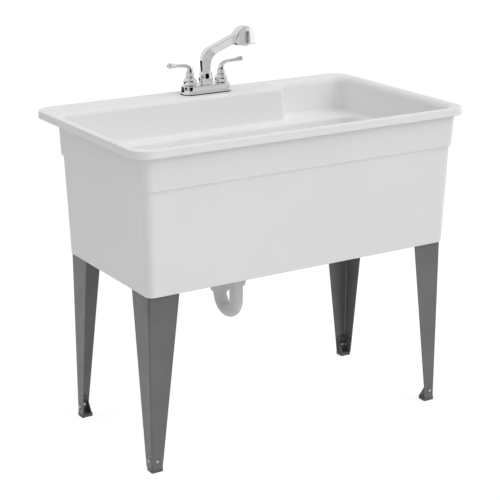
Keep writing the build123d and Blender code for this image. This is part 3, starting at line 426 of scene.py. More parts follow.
BAND_INSET = (0.0236, 0.0172, 0.0942)    # from the rim's edge in to the outer wall: ends, front, back
BAND_DRAFT = 0.0036
STEP_WIDTH = 0.0054
SKIRT_DRAFT = 0.010
SKIRT_WALL = 0.0044
LIP_FLARE = 0.0015
WALL_DRAFT = 0.004
LEDGE_WIDTH = (0.024, 0.030)             # along the front and ends, and along the deck
BOWL_DRAFT = 0.022
BOWL_WALL = 0.005
POCKET_SETBACK = 0.054
POCKET_WALL = 0.006
DECK_END_WALL = 0.012
BAND_CORNER = 0.029
SKIRT_CORNERS = (0.026, 0.020)           # at the step and at the bottom edge
INNER_CORNER = 0.040
LEDGE_ROUND = 0.010                      # hollow where the inner wall meets the ledge
POCKET_CORNERS = (0.020, 0.012)          # where the pocket meets the deck, and the deck the left wall
BOWL_CORNER = 0.045
BOWL_EDGE_ROUND = 0.008
FLOOR_ROUND = 0.028
DRAIN_BOSS = (0.062, 0.010)              # radius and thickness
DRAIN_DISH = 0.055
FLANGE_THICKNESS = 0.003
STRAINER_HOLE = 0.0243
SHANK_HOLE = 0.015
TAP_SPACING = 0.1016
SHELF = (0.106, 0.006)                   # over each leg's top: how far the shelf reaches, and its thickness


def bowl_edge(tub):
    """The bowl's upper edge: half its length, and how far it reaches to the front and to the back."""
    inset = tub.rim_land + tub.rim_round + WALL_DRAFT + LEDGE_WIDTH[0]
    return RIM_X - inset, RIM_Y - inset, RIM_Y - tub.deck_depth - WALL_DRAFT - LEDGE_WIDTH[1]


def tub_rings(tub):
    """Every ring of the tub, from the drain's hole up the inside, over the rim and back underneath."""
    top = RIM_Z
    ledge = top - tub.ledge_drop
    step = top - tub.step_drop
    floor = top - tub.floor_drop
    small = tub.mould_round
    seat = DRAIN_HIGH.z - FLANGE_THICKNESS
    drain_under = seat - DRAIN_BOSS[1]
    bowl_under = DRAIN_HIGH.z - BOWL_WALL
    flange = DRAIN_HIGH.x - DRAIN_X + small / 10
    end_inset, front_inset, back_inset = BAND_INSET

    wall_x = RIM_X - tub.rim_land - tub.rim_round
    wall_front = RIM_Y - tub.rim_land - tub.rim_round
    deck_face = RIM_Y - tub.deck_depth
    pocket = RIM_Y - POCKET_SETBACK
    bowl_x, bowl_front, bowl_back = bowl_edge(tub)
    band_x, band_front, band_back = RIM_X - end_inset, RIM_Y - front_inset, RIM_Y - back_inset
    under_end = tub.deck_end - DECK_END_WALL
    # the lines without the deck's corner meet its fan where no face of the fan turns over
    rim_end = tub.deck_end - 2 * tub.deck_round
    bowl_end = tub.deck_end + WALL_DRAFT + LEDGE_ROUND
    skirt_end = under_end + BAND_DRAFT + 2 * small

    def bowl(grow, corner):
        return TubLine(bowl_x + grow, bowl_front + grow, bowl_back + grow, corner, deck_end=bowl_end)

    def inner(grow):
        return TubLine(wall_x + grow, wall_front + grow, pocket + grow, INNER_CORNER, deck_face + grow,
                       tub.deck_end - grow, tub.deck_round, *POCKET_CORNERS)

    def outer(grow, corner):
        return TubLine(RIM_X + grow, RIM_Y + grow, RIM_Y + grow, corner, deck_end=rim_end)

    def band(grow):
        return TubLine(band_x + grow, band_front + grow, pocket + POCKET_WALL + grow, BAND_CORNER,
                       band_back + grow, under_end - grow, small * 2, small * 3)

    def skirt(grow, corner):
        shrink = grow - BAND_DRAFT - STEP_WIDTH
        return TubLine(band_x + shrink, band_front + shrink, band_back + shrink, corner, deck_end=skirt_end)

    lip_z = top - tub.lip_drop
    under = top - tub.plate
    low_bowl = bowl(-BOWL_DRAFT, BOWL_CORNER)
    inside = [
        low_bowl.circle(STRAINER_HOLE, drain_under),
        low_bowl.circle(STRAINER_HOLE, seat),
        low_bowl.circle(flange, seat),
        low_bowl.circle(flange, DRAIN_HIGH.z),
        low_bowl.circle(DRAIN_DISH, DRAIN_HIGH.z),
        *low_bowl.fold(floor, FLOOR_ROUND, -1, 1, -90, -5),
        *bowl(0, BOWL_CORNER).fold(ledge, BOWL_EDGE_ROUND, 1, -1, 175, 90),
        *inner(-WALL_DRAFT).fold(ledge, LEDGE_ROUND, -1, 1, -90, -2),
        *inner(0).fold(top, tub.rim_round, 1, -1, 180, 90, tub.deck_round),
    ]
    outside = [
        *outer(-LIP_FLARE, tub.rim_corner).fold(top, tub.rim_edge, -1, -1, 90, 0),
        *outer(0, tub.rim_corner).fold(lip_z, small / 2, -1, 1, 0, -90),
        *outer(-tub.lip_wall, tub.rim_corner - tub.lip_wall).fold(lip_z, small / 2, 1, 1, -90, -180),
        *outer(-tub.lip_wall - LIP_FLARE, tub.rim_corner - tub.lip_wall).fold(under, small, -1, -1, 0, 90),
        *band(0).fold(under, small, 1, -1, 90, 180),
        *band(-BAND_DRAFT).fold(step, small, -1, 1, 0, -90),
        *skirt(0, SKIRT_CORNERS[0]).fold(step, small * 0.8, 1, -1, 90, 180),
        *skirt(-SKIRT_DRAFT, SKIRT_CORNERS[1]).fold(SKIRT_Z, small / 2, -1, 1, 0, -90),
        *skirt(-SKIRT_DRAFT - SKIRT_WALL, SKIRT_CORNERS[1] - SKIRT_WALL).fold(SKIRT_Z, small / 2, 1, 1,
                                                                             -90, -180),
        *skirt(-SKIRT_WALL, SKIRT_CORNERS[0] - SKIRT_WALL).fold(step, small, -1, -1, 0, 90),
        *bowl(BOWL_WALL, BOWL_CORNER + BOWL_WALL).fold(step, small, 1, -1, 90, 180),
        *bowl(BOWL_WALL - BOWL_DRAFT, BOWL_CORNER).fold(bowl_under, FLOOR_ROUND, -1, 1, 0, -90),
        low_bowl.circle(DRAIN_BOSS[0] + small, bowl_under),
        low_bowl.circle(DRAIN_BOSS[0], bowl_under - small),
        low_bowl.circle(DRAIN_BOSS[0], drain_under),
    ]
    return inside + outside


def bore(piece, places, radius, low, high):
    """Drills upright holes through a piece."""
    build = bmesh.new()
    for x, y in places:
        middle = Matrix.Translation((x, y, (low + high) / 2))
        bmesh.ops.create_cone(build, cap_ends=True, segments=48, radius1=radius, radius2=radius,
                              depth=high - low, matrix=middle)
    drill = bpy.data.objects.new("drill", mesh_from(build, "drill"))
    bpy.context.scene.collection.objects.link(drill)
    cut = piece.modifiers.new("bore", "BOOLEAN")
    cut.operation = "DIFFERENCE"
    cut.solver = "EXACT"
    cut.object = drill
    shaped = baked(piece)
    piece.modifiers.clear()
    piece.data = shaped
    bpy.data.objects.remove(drill)


def leg_corner(corner):
    """A leg's outer corner and top, and the ways that the corner faces along X and Y."""
    low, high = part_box("leg_" + corner)
    side = -1 if "left" in corner else 1
    way = -1 if "front" in corner else 1
    return low.x if side < 0 else high.x, low.y if way < 0 else high.y, high.z, side, way


class SINK_OT_tub(bpy.types.Operator):
    """The moulded basin with its rim, deck, pocket, bowl and skirt"""

    bl_idname = "laundry_sink.tub"
    bl_label = "Tub"

    def execute(self, context):
        tub = context.scene.laundry_tub
        build = bmesh.new()
        bridge(build, tub_rings(tub), loop=True)
        piece = new_piece("moulded_tub", mesh_from(build, "moulded_tub"),
                          replaced=["tub_basin"])
        taps = [(side * TAP_SPACING / 2, TAP_Y) for side in VALVES.values()]
        bore(piece, taps, SHANK_HOLE, RIM_Z - 2 * tub.plate, RIM_Z + tub.plate)
        piece.data.materials.clear()
        piece.data.materials.append(finish_for("basin_polymer"))
        soften(piece)
        self.shelves(tub)
        return {"FINISHED"}

    def shelves(self, tub):
        """The moulded shelf over each leg's top, seen from below."""
        build = bmesh.new()
        size, thickness = SHELF
        bowl_x, bowl_front, bowl_back = bowl_edge(tub)
        for corner in CORNERS:
            x, y, top, side, way = leg_corner(corner)
            # the shelf ends inside the bowl's wall, so it follows the bowl's corner
            sunk = (RIM_Z - tub.ledge_drop - top) / (tub.floor_drop - tub.ledge_drop)
            gap_x = abs(x) - bowl_x + BOWL_DRAFT * sunk
            gap_y = abs(y) - (bowl_front if way < 0 else bowl_back) + BOWL_DRAFT * sunk
            outline = [(size, 0), (size, gap_y),
                       *arc((gap_x + BOWL_CORNER, gap_y + BOWL_CORNER), BOWL_CORNER, 270, 180, TURN_STEPS),
                       (gap_x, size), (0, size),
                       *arc((SKIRT_CORNERS[1], SKIRT_CORNERS[1]), SKIRT_CORNERS[1], 180, 270, FOLD_STEPS)]
            bridge_closed(build, [
                [(x - side * inwards, y - way * across, level) for inwards, across in outline]
                for level in (top, top + thickness)
            ])
        made = new_piece("leg_shelves", mesh_from(build, "leg_shelves"))
        made.data.materials.append(finish_for("basin_polymer"))
        bevel(made, tub.mould_round / 4, 30)


# ---------------------------------------------------------------- folded legs, feet and other CAD parts
def dress(name, edge_round):
    """Gives a carried-over part its material, joined faces and softened edges."""
    part = frame["nodes"][name]
    slot = next(row["material_slot"] for row in frame["record"]["subparts"] if row["node"] == name)
    part.data.materials.clear()
    part.data.materials.append(finish_for(slot))
    for face in part.data.polygons:
        face.use_smooth = True
    join = part.modifiers.new("join", "WELD")
    join.merge_threshold = 1e-5
    bevel(part, edge_round, 35)


LEG_PARTS = ["leg_" + corner for corner in CORNERS]
FOOT_PARTS = ["foot_" + corner for corner in CORNERS]
HIDDEN_PARTS = ["foot_nuts", "leg_screws", "drain_gasket", "drain_washer", "drain_locknut", "slip_washers",
                "tap_waterway", "hot_valve", "cold_valve", "hot_stem", "cold_stem",
                "hot_handle_screw", "cold_handle_screw", "mounting_washers", "mounting_nuts",
                "spout_ring", "spout_o_ring", "aerator_screen"]
SHOWN_PARTS = ["drain_flange", "drain_stopper", "tailpiece", "j_bend", "trap_arm", "aerator"]
SCREW_OFFSET = 0.0163                     # from a leg's corner
SCREW_HEIGHT = 0.031
SCREW_HEAD = (0.0046, 0.0026)             # radius and height
SCREW_SHANK = (0.0024, 0.0108)            # radius and length


class SINK_OT_legs(bpy.types.Operator):
    """The four folded legs with their levelling feet and screws"""

    bl_idname = "laundry_sink.legs"
    bl_label = "Legs and feet"

    def execute(self, context):
        for name in LEG_PARTS:
            dress(name, 0.0004)
        for name in FOOT_PARTS:
            dress(name, 0.0007)
        facing, places = [], []
        for corner in CORNERS:
            x, y, top, side, way = leg_corner(corner)
            places += [(x, y - way * SCREW_OFFSET, SCREW_HEIGHT), (x - side * SCREW_OFFSET, y, SCREW_HEIGHT)]
            facing += [(side, 0, 0), (0, way, 0)]
        screws = pan_screws("leg_foot_screws", places, facing, SCREW_HEAD, SCREW_SHANK)
        new_piece("leg_foot_screws", screws, replaced=["foot_screws"])
        return {"FINISHED"}


# ---------------------------------------------------------------- node trees for what repeats
def new_tree(name, inputs):
    """A geometry tree with named inputs, and its input and output nodes."""
    tree = bpy.data.node_groups.new(name, "GeometryNodeTree")
    tree.interface.new_socket("Geometry", in_out="INPUT", socket_type="NodeSocketGeometry")
    for label, kind, default in inputs:
        socket = tree.interface.new_socket(label, in_out="INPUT", socket_type=kind)
        if default is not None:
            socket.default_value = default
    tree.interface.new_socket("Geometry", in_out="OUTPUT", socket_type="NodeSocketGeometry")
    return tree, tree.nodes.new("NodeGroupInput"), tree.nodes.new("NodeGroupOutput")


def run_tree(name, seed_mesh, tree, values):
    """Runs a tree on a mesh and gives back its result as a plain mesh."""
    seed = bpy.data.objects.new(name + "_seed", seed_mesh)
    bpy.context.scene.collection.objects.link(seed)
    modifier = seed.modifiers.new("tree", "NODES")
    modifier.node_group = tree
    for item in tree.interface.items_tree:
        if item.in_out == "INPUT" and item.name in values:
            modifier[item.identifier] = values[item.name]
    made = baked(seed)
    made.name = name
    bpy.data.objects.remove(seed)
    if not made.polygons:
        raise RuntimeError("the tree for " + name + " made no faces")
    return made


def pan_screws(name, places, facing, head, shank):
    """Cross-head pan screws on loose points, each turned to face the way that it is told."""
    tree, given, result = new_tree("pan_screw", [
        ("Head Radius", "NodeSocketFloat", head[0]),
        ("Head Height", "NodeSocketFloat", head[1]),
        ("Shank Radius", "NodeSocketFloat", shank[0]),
        ("Shank Length", "NodeSocketFloat", shank[1]),
        ("Material", "NodeSocketMaterial", None),
    ])
    head_radius, head_height = given.outputs["Head Radius"], given.outputs["Head Height"]
    shank_radius, shank_length = given.outputs["Shank Radius"], given.outputs["Shank Length"]

    # head: a short cylinder that is drawn in towards its top
    cylinder = add_node(tree, "GeometryNodeMeshCylinder", {
        "Vertices": 28, "Side Segments": 6, "Radius": head_radius, "Depth": head_height}, fill_type="NGON")
    here = position_parts(tree)
    share = math_node(tree, "ADD", math_node(tree, "DIVIDE", here["Z"], head_height), 0.5)
    taper = math_node(tree, "MULTIPLY", math_node(tree, "POWER", share, 3.0), 0.3)
    drawn_in = math_node(tree, "SUBTRACT", 1.0, taper)
    moved = vector_node(tree, X=math_node(tree, "MULTIPLY", here["X"], drawn_in),
                        Y=math_node(tree, "MULTIPLY", here["Y"], drawn_in),
                        Z=math_node(tree, "ADD", here["Z"], math_node(tree, "MULTIPLY", head_height, 0.5)))
    dome = add_node(tree, "GeometryNodeSetPosition", {
        "Geometry": cylinder.outputs["Mesh"], "Position": moved})

    # cross: two slots cut into the head's top
    cut = add_node(tree, "GeometryNodeMeshBoolean", {"Mesh 1": dome.outputs["Geometry"]},
                   operation="DIFFERENCE", solver="EXACT")
    narrow = math_node(tree, "MULTIPLY", head_radius, 0.22)
    for long_way, short_way in (("X", "Y"), ("Y", "X")):
        size = vector_node(tree, **{long_way: head_radius, short_way: narrow, "Z": head_height})
        slot = add_node(tree, "GeometryNodeMeshCube", {"Size": size})
        raised = add_node(tree, "GeometryNodeTransform", {
            "Geometry": slot.outputs["Mesh"], "Translation": vector_node(tree, Z=head_height)})
        tree.links.new(raised.outputs["Geometry"], cut.inputs["Mesh 2"])

    # shank below the head
    rod = add_node(tree, "GeometryNodeMeshCylinder", {
        "Vertices": 20, "Radius": shank_radius, "Depth": shank_length})
    lowered = add_node(tree, "GeometryNodeTransform", {
        "Geometry": rod.outputs["Mesh"],
        "Translation": vector_node(tree, Z=math_node(tree, "MULTIPLY", shank_length, -0.5))})
    screw = joined(tree, cut.outputs["Mesh"], lowered.outputs["Geometry"])

    # one on each point
    ways = add_node(tree, "GeometryNodeInputNamedAttribute", {"Name": "facing"}, data_type="FLOAT_VECTOR")
    align = add_node(tree, "FunctionNodeAlignRotationToVector", {
        "Vector": ways.outputs["Attribute"]}, axis="Z")
    stand = add_node(tree, "GeometryNodeInstanceOnPoints", {
        "Points": given.outputs["Geometry"], "Instance": screw, "Rotation": align.outputs["Rotation"]})
    finish_tree(tree, stand.outputs["Instances"], given, result)

    points = bpy.data.meshes.new(name)
    points.from_pydata(places, [], [])
    attribute = points.attributes.new("facing", "FLOAT_VECTOR", "POINT")
    attribute.data.foreach_set("vector", [number for way in facing for number in way])
    return run_tree(name, points, tree, {"Material": finish_for("fastener_steel")})


def joined(tree, first, second):
    """Two shapes as one."""
    both = add_node(tree, "GeometryNodeJoinGeometry", {"Geometry": first})
    tree.links.new(second, both.inputs["Geometry"])
    return both.outputs["Geometry"]


def finish_tree(tree, instances, given, result):
    """Ends a tree: instances made real, with their material."""
    real = add_node(tree, "GeometryNodeRealizeInstances", {"Geometry": instances})
    coat = add_node(tree, "GeometryNodeSetMaterial", {
        "Geometry": real.outputs["Geometry"], "Material": given.outputs["Material"]})
    tree.links.new(coat.outputs["Geometry"], result.inputs["Geometry"])


def grip_ribs(name, shell, centre, ribs, ring_radius, rib_radius, height, slot):
    """A hand nut's shell with upright grip ribs all round it."""
    tree, given, result = new_tree("grip_ribs", [
        ("Count", "NodeSocketInt", ribs),
        ("Ring Radius", "NodeSocketFloat", ring_radius),
        ("Rib Radius", "NodeSocketFloat", rib_radius),
        ("Rib Height", "NodeSocketFloat", height),
        ("Centre", "NodeSocketVector", tuple(centre)),
        ("Material", "NodeSocketMaterial", None),
    ])
    places = add_node(tree, "GeometryNodeMeshCircle", {
        "Vertices": given.outputs["Count"], "Radius": given.outputs["Ring Radius"]})
    rib = add_node(tree, "GeometryNodeMeshUVSphere", {
        "Segments": 14, "Rings": 12, "Radius": given.outputs["Rib Radius"]})
    # a ball drawn out into a bar with round ends
    way = math_node(tree, "SIGN", position_parts(tree)["Z"], 0.0)
    straight = math_node(tree, "SUBTRACT", math_node(tree, "MULTIPLY", given.outputs["Rib Height"], 0.5),
                         given.outputs["Rib Radius"])
    reach = vector_node(tree, Z=math_node(tree, "MULTIPLY", way, straight))
    drawn = add_node(tree, "GeometryNodeSetPosition", {"Geometry": rib.outputs["Mesh"], "Offset": reach})
    stand = add_node(tree, "GeometryNodeInstanceOnPoints", {
        "Points": places.outputs["Mesh"], "Instance": drawn.outputs["Geometry"]})
    carry = add_node(tree, "GeometryNodeTransform", {
        "Geometry": stand.outputs["Instances"], "Translation": given.outputs["Centre"]})
    finish_tree(tree, joined(tree, given.outputs["Geometry"], carry.outputs["Geometry"]), given, result)
    return run_tree(name, shell, tree, {"Material": finish_for(slot)})


# ---------------------------------------------------------------- turned and swept shapes
ROUND_STEPS = 64


def turned(build, centre, profile):
    """A shape of revolution about an upright line, from (radius, height) pairs."""
    turns = [2 * math.pi * i / ROUND_STEPS for i in range(ROUND_STEPS)]
    bridge(build, [[(centre[0] + radius * math.cos(turn), centre[1] + radius * math.sin(turn), height)
                    for turn in turns] for radius, height in profile])


def smooth_line(points, steps):
    """A smooth curve through points, as many numbers each as they have."""
    given = [np.array(point, float) for point in points]
    padded = [2 * given[0] - given[1], *given, 2 * given[-1] - given[-2]]
    line = []
    for a, b, c, d in zip(padded, padded[1:], padded[2:], padded[3:]):
        for step in range(steps):
            t = step / steps
            line.append(0.5 * (2 * b + (c - a) * t + (2 * a - 5 * b + 4 * c - d) * t ** 2
                               + (3 * b - a - 3 * c + d) * t ** 3))
    line.append(given[-1])
    return [tuple(float(number) for number in point) for point in line]


def tube(build, path, radii, sides=40):
    """A round tube along points in the plane of the tap, each with its own radius."""
    across = Vector((0, 1, 0))
    turns = [2 * math.pi * k / sides for k in range(sides)]
    rings = []
    for i, (point, radius) in enumerate(zip(path, radii)):
        before, after = path[max(i - 1, 0)], path[min(i + 1, len(path) - 1)]
        up = (Vector(after) - Vector(before)).normalized().cross(across)
        rings.append([tuple(Vector(point) + radius * (across * math.cos(turn) + up * math.sin(turn)))
                      for turn in turns])
    bridge_closed(build, rings)


# ---------------------------------------------------------------- the tap
TAP_PLATE_CORNER = 0.022
TAP_PLATE_ROUND = 0.0026
TAP_PLATE_DRAFT = 0.0021
TAP_PLATE_FOOT = (0.0004, 0.0005)    # chamfer of the plate's foot: inwards and upwards
GASKET_MARGIN = 0.0008
GASKET_WIDTH = 0.004
GASKET_SHOWN = 0.0008          # how far the plate's edge stands above the gasket's seat
ROUND_CORNER_STEPS = 16


def rounded_box_ring(centre, half_x, half_y, corner, level):
    """A level ring with four rounded corners."""
    ring = []
    for sign_x, sign_y, first in ((1, 1, 0), (-1, 1, 90), (-1, -1, 180), (1, -1, 270)):
        middle = (centre[0] + sign_x * (half_x - corner), centre[1] + sign_y * (half_y - corner))
        ring += [(x, y, level) for x, y in arc(middle, corner, first, first + 90, ROUND_CORNER_STEPS)]
    return ring


class SINK_OT_tap_plate(bpy.types.Operator):
    """The tap's base plate on the deck, with its gasket"""

    bl_idname = "laundry_sink.tap_plate"
    bl_label = "Tap base plate"

    def execute(self, context):
        half_x = (BASE_HIGH.x - BASE_LOW.x) / 2
        half_y = (BASE_HIGH.y - BASE_LOW.y) / 2
        centre = (0, TAP_Y)
        foot = BASE_LOW.z + GASKET_SHOWN
        chamfer, chamfer_height = TAP_PLATE_FOOT
        rings = [rounded_box_ring(centre, half_x - chamfer, half_y - chamfer, TAP_PLATE_CORNER, foot),
                 rounded_box_ring(centre, half_x, half_y, TAP_PLATE_CORNER, foot + chamfer_height)]
        for radius, level in arc((0, 0), TAP_PLATE_ROUND, 0, 90, 8):
            inset = TAP_PLATE_DRAFT + TAP_PLATE_ROUND - radius
            rings.append(rounded_box_ring(centre, half_x - inset, half_y - inset, TAP_PLATE_CORNER - inset,
                                          BASE_HIGH.z - TAP_PLATE_ROUND + level))
        build = bmesh.new()
        bridge_closed(build, rings)
        finished_piece("tap_plate", build, "chrome", replaced=["tap_base"])
        build = bmesh.new()
        outline = [(GASKET_MARGIN, RIM_Z), (GASKET_MARGIN, foot),
                   (-GASKET_WIDTH, foot), (-GASKET_WIDTH, RIM_Z)]
        bridge(build, [rounded_box_ring(centre, half_x + grow, half_y + grow, TAP_PLATE_CORNER + grow, level)
                       for grow, level in outline], loop=True)
        finished_piece("plate_gasket", build, "rubber_black", replaced=["tap_gasket"])
        return {"FINISHED"}


# shapes of the bells and the hub, as shares of their widest radius and their height
BELL_FOOT = (0.86, 0.05)
BELL_SHAPE = ((0.92, 0.055), (0.965, 0.13), (0.992, 0.24), (1.0, 0.38), (0.99, 0.52), (0.955, 0.64),
              (0.88, 0.73), (0.79, 0.775), (0.73, 0.81), (0.70, 0.87), (0.69, 0.95), (0.64, 1.0))
HUB_SHAPE = ((0.89, 0.0), (0.915, 0.06), (0.965, 0.18), (0.995, 0.32), (1.0, 0.42), (0.985, 0.56),
             (0.945, 0.72), (0.90, 0.84), (0.86, 0.93))
HUB_TOP = 0.80
HUB_EDGE = ((0.0008, 0.965), (0.0, 0.985), (-0.0012, 1.0))    # past the top's radius in metres, and height


class SINK_OT_bonnets(bpy.types.Operator):
    """The two chrome bells over the valves"""

    bl_idname = "laundry_sink.bonnets"
    bl_label = "Valve bonnets"

    def execute(self, context):
        for name, side in VALVES.items():
            low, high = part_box(name + "_bonnet")
            foot, height = low.z, high.z - low.z
            widest = (high.x - low.x) / 2
            shape = [(widest * radius, foot + height * level) for radius, level in BELL_SHAPE]
            foot_radius = widest * BELL_FOOT[0]
            profile = [(0, foot), (foot_radius, foot), (foot_radius, foot + height * BELL_FOOT[1]),
                       *smooth_line(shape, 5), (0, foot + height)]
            build = bmesh.new()
            turned(build, (side * TAP_SPACING / 2, TAP_Y), profile)
            finished_piece(name + "_bell", build, "chrome", replaced=[name + "_bonnet"])
        return {"FINISHED"}


class SINK_OT_hub(bpy.types.Operator):
    """The rounded nut that holds the swing spout"""

    bl_idname = "laundry_sink.hub"
    bl_label = "Spout hub"

    def execute(self, context):
        foot, height = HUB_LOW.z, HUB_HIGH.z - HUB_LOW.z
        widest = (HUB_HIGH.x - HUB_LOW.x) / 2
        shape = [(widest * radius, foot + height * level) for radius, level in HUB_SHAPE]
        edge = [(widest * HUB_TOP + grow, foot + height * level) for grow, level in HUB_EDGE]
        profile = [(0, foot), (shape[0][0], foot), *smooth_line(shape, 6), *edge, (0, foot + height)]
        build = bmesh.new()
        turned(build, (0, TAP_Y), profile)
        finished_piece("spout_hub", build, "chrome", replaced=["spout_nut"])
        return {"FINISHED"}


NECK_BEADS = ((0.0119, 0.0022), (0.0116, 0.0062), (0.0111, 0.0101))    # radius and middle height of each bead
BEAD_HALF = 0.0018
BEAD_DEPTH = 0.0009
NECK_HEIGHT = 0.013
NECK_TOP = (0.0014, 0.0004)    # how far the neck draws in at its top, and the top's crown
LEVER_RISE = 0.031             # from the bonnet's top to the lever's axis over the valve
LEVER_CLIMB = 0.006
LEVER_STEM = 0.0052
LEVER_TIP = 0.0082
LEVER_NOSE = (0.9, 0.0004)     # the nose's length as a share of the tip's radius, and how far it climbs
LEVER_FOOT = ((-0.001, 0.0100), (0.0025, 0.0096))    # above the neck, and radius
LEVER_ROUTE = (                # out from the valve's axis, above the lever's axis, and radius
    (0.0008, -0.0110, 0.0086),
    (0.0036, -0.0058, 0.0074),
    (0.0090, -0.0012, 0.0062),
    (0.0170, 0.0014, LEVER_STEM + 0.0002),
    (0.0300, LEVER_CLIMB * 0.42, LEVER_STEM - 0.0003),
    (0.0440, LEVER_CLIMB * 0.62, LEVER_STEM),
    (0.0580, LEVER_CLIMB * 0.82, LEVER_TIP - 0.0008),
    (0.0655, LEVER_CLIMB * 0.92, LEVER_TIP),
)


class SINK_OT_handles(bpy.types.Operator):
    """The two lever handles, each a beaded neck that bends over into a lever with a rounded end"""

    bl_idname = "laundry_sink.handles"
    bl_label = "Lever handles"

    def execute(self, context):
        for name, side in VALVES.items():
            x = side * TAP_SPACING / 2
            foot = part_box(name + "_handle")[0].z
            top = foot + NECK_HEIGHT
            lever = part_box(name + "_bonnet")[1].z + LEVER_RISE
            build = bmesh.new()
            neck = [(0, foot), (NECK_BEADS[0][0] - BEAD_DEPTH, foot)]
            for widest, middle in NECK_BEADS:
                neck += [(widest - BEAD_DEPTH * (1 - math.sin(turn)),
                          foot + middle - BEAD_HALF * math.cos(turn))
                         for turn in (math.pi * step / 8 for step in range(9))]
            neck += [(NECK_BEADS[-1][0] - NECK_TOP[0], top), (0, top + NECK_TOP[1])]
            turned(build, (x, TAP_Y), neck)
            route = [(0.0, top + rise, radius) for rise, radius in LEVER_FOOT]
            route += [(out, lever + rise, radius) for out, rise, radius in LEVER_ROUTE]
            line = smooth_line(route, 5)
            reach, level, tip = line[-1]
            line += [(reach + tip * LEVER_NOSE[0] * math.sin(turn), level + LEVER_NOSE[1] * math.sin(turn),
                      tip * math.cos(turn)) for turn in (math.pi / 2 * step / 8 for step in range(1, 8))]
            path = [(x + side * out, TAP_Y, level) for out, level, radius in line]
            tube(build, path, [radius for out, level, radius in line])
            finished_piece(name + "_lever", build, "chrome", name + "_tap", [name + "_handle"])
        return {"FINISHED"}


SPOUT_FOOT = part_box("spout")[0].z
SPOUT_SEAT = 0.0003            # the riser's foot above the hub's top
HEAD_LENGTH = 0.0625
HEAD_WIDTH = 0.032
HEAD_ROUND = 0.0032
HEAD_DROP = 0.0215             # from the arm's end down to the head's underside
HEAD_PROFILE = (               # the head from the side: out from its near face, and above its underside
    (0.0, 0.0), (0.0, 0.0165), (0.0002, 0.02706), (0.0025, 0.0375), (0.0075, 0.0428), (0.0145, 0.0478),
    (0.0240, 0.0518), (0.034, 0.0535), (0.0425, 0.0508), (0.0495, 0.0435), (0.0550, 0.0335), (0.0600, 0.0175),
    (HEAD_LENGTH, 0.0),
)
HEAD_FLOOR_STEPS = 12
ARM_START = (0.032, 0.0627)    # where the arm's slope begins: out from the riser's axis, and above the hub
ARM_REACH = 0.096              # from the riser's axis to the head's near face
ARM_SLOPE = math.tan(math.radians(21))
ARM_END = ARM_START[1] + (ARM_REACH - ARM_START[0]) * ARM_SLOPE
SPOUT_SECTIONS = (             # out, above the hub's top, slope in degrees, depth, width and corner
    (0.0, SPOUT_SEAT, 90, 0.0262, 0.0140, 0.0025),
    (0.0, 0.0080, 90, 0.0268, 0.0145, 0.0025),
    (0.0, 0.0250, 86, 0.0286, 0.0162, 0.0024),
    (0.0015, 0.0360, 72, 0.0296, 0.0185, 0.0022),
    (0.0075, 0.0473, 50, 0.0288, 0.0215, 0.0019),
    (0.0185, 0.0565, 31, 0.0250, 0.0235, 0.0017),
    (0.0330, 0.0630, 21.5, 0.0219, 0.0240, 0.0016),
    (0.0650, ARM_START[1] + (0.065 - ARM_START[0]) * ARM_SLOPE, 21, 0.0226, 0.0240, 0.0016),
    (ARM_REACH + HEAD_ROUND, ARM_END + HEAD_ROUND * ARM_SLOPE, 21, 0.0238, 0.0240, 0.0016),
)
STUB = (0.009, 0.0128)         # radii of the neck inside the hub: at its foot, and above its shoulder
STUB_SHOULDER = (0.016, 0.0162)
STUB_LAP = 0.001               # how far the neck reaches up into the riser
SECTION_STEPS = 8


def section_ring(x, level, slope, depth, width, corner):
    """The spout's section, square to its line: a box with four rounded corners."""
    up = Vector((-math.sin(math.radians(slope)), 0, math.cos(math.radians(slope))))
    across = Vector((0, 1, 0))
    ring = []
    for sign_a, sign_u, first in ((1, 1, 0), (-1, 1, 90), (-1, -1, 180), (1, -1, 270)):
        middle = (sign_a * (width / 2 - corner), sign_u * (depth / 2 - corner))
        for a, u in arc(middle, corner, first, first + 90, SECTION_STEPS):
            ring.append(tuple(Vector((x, TAP_Y, level)) + across * a + up * u))
    return ring


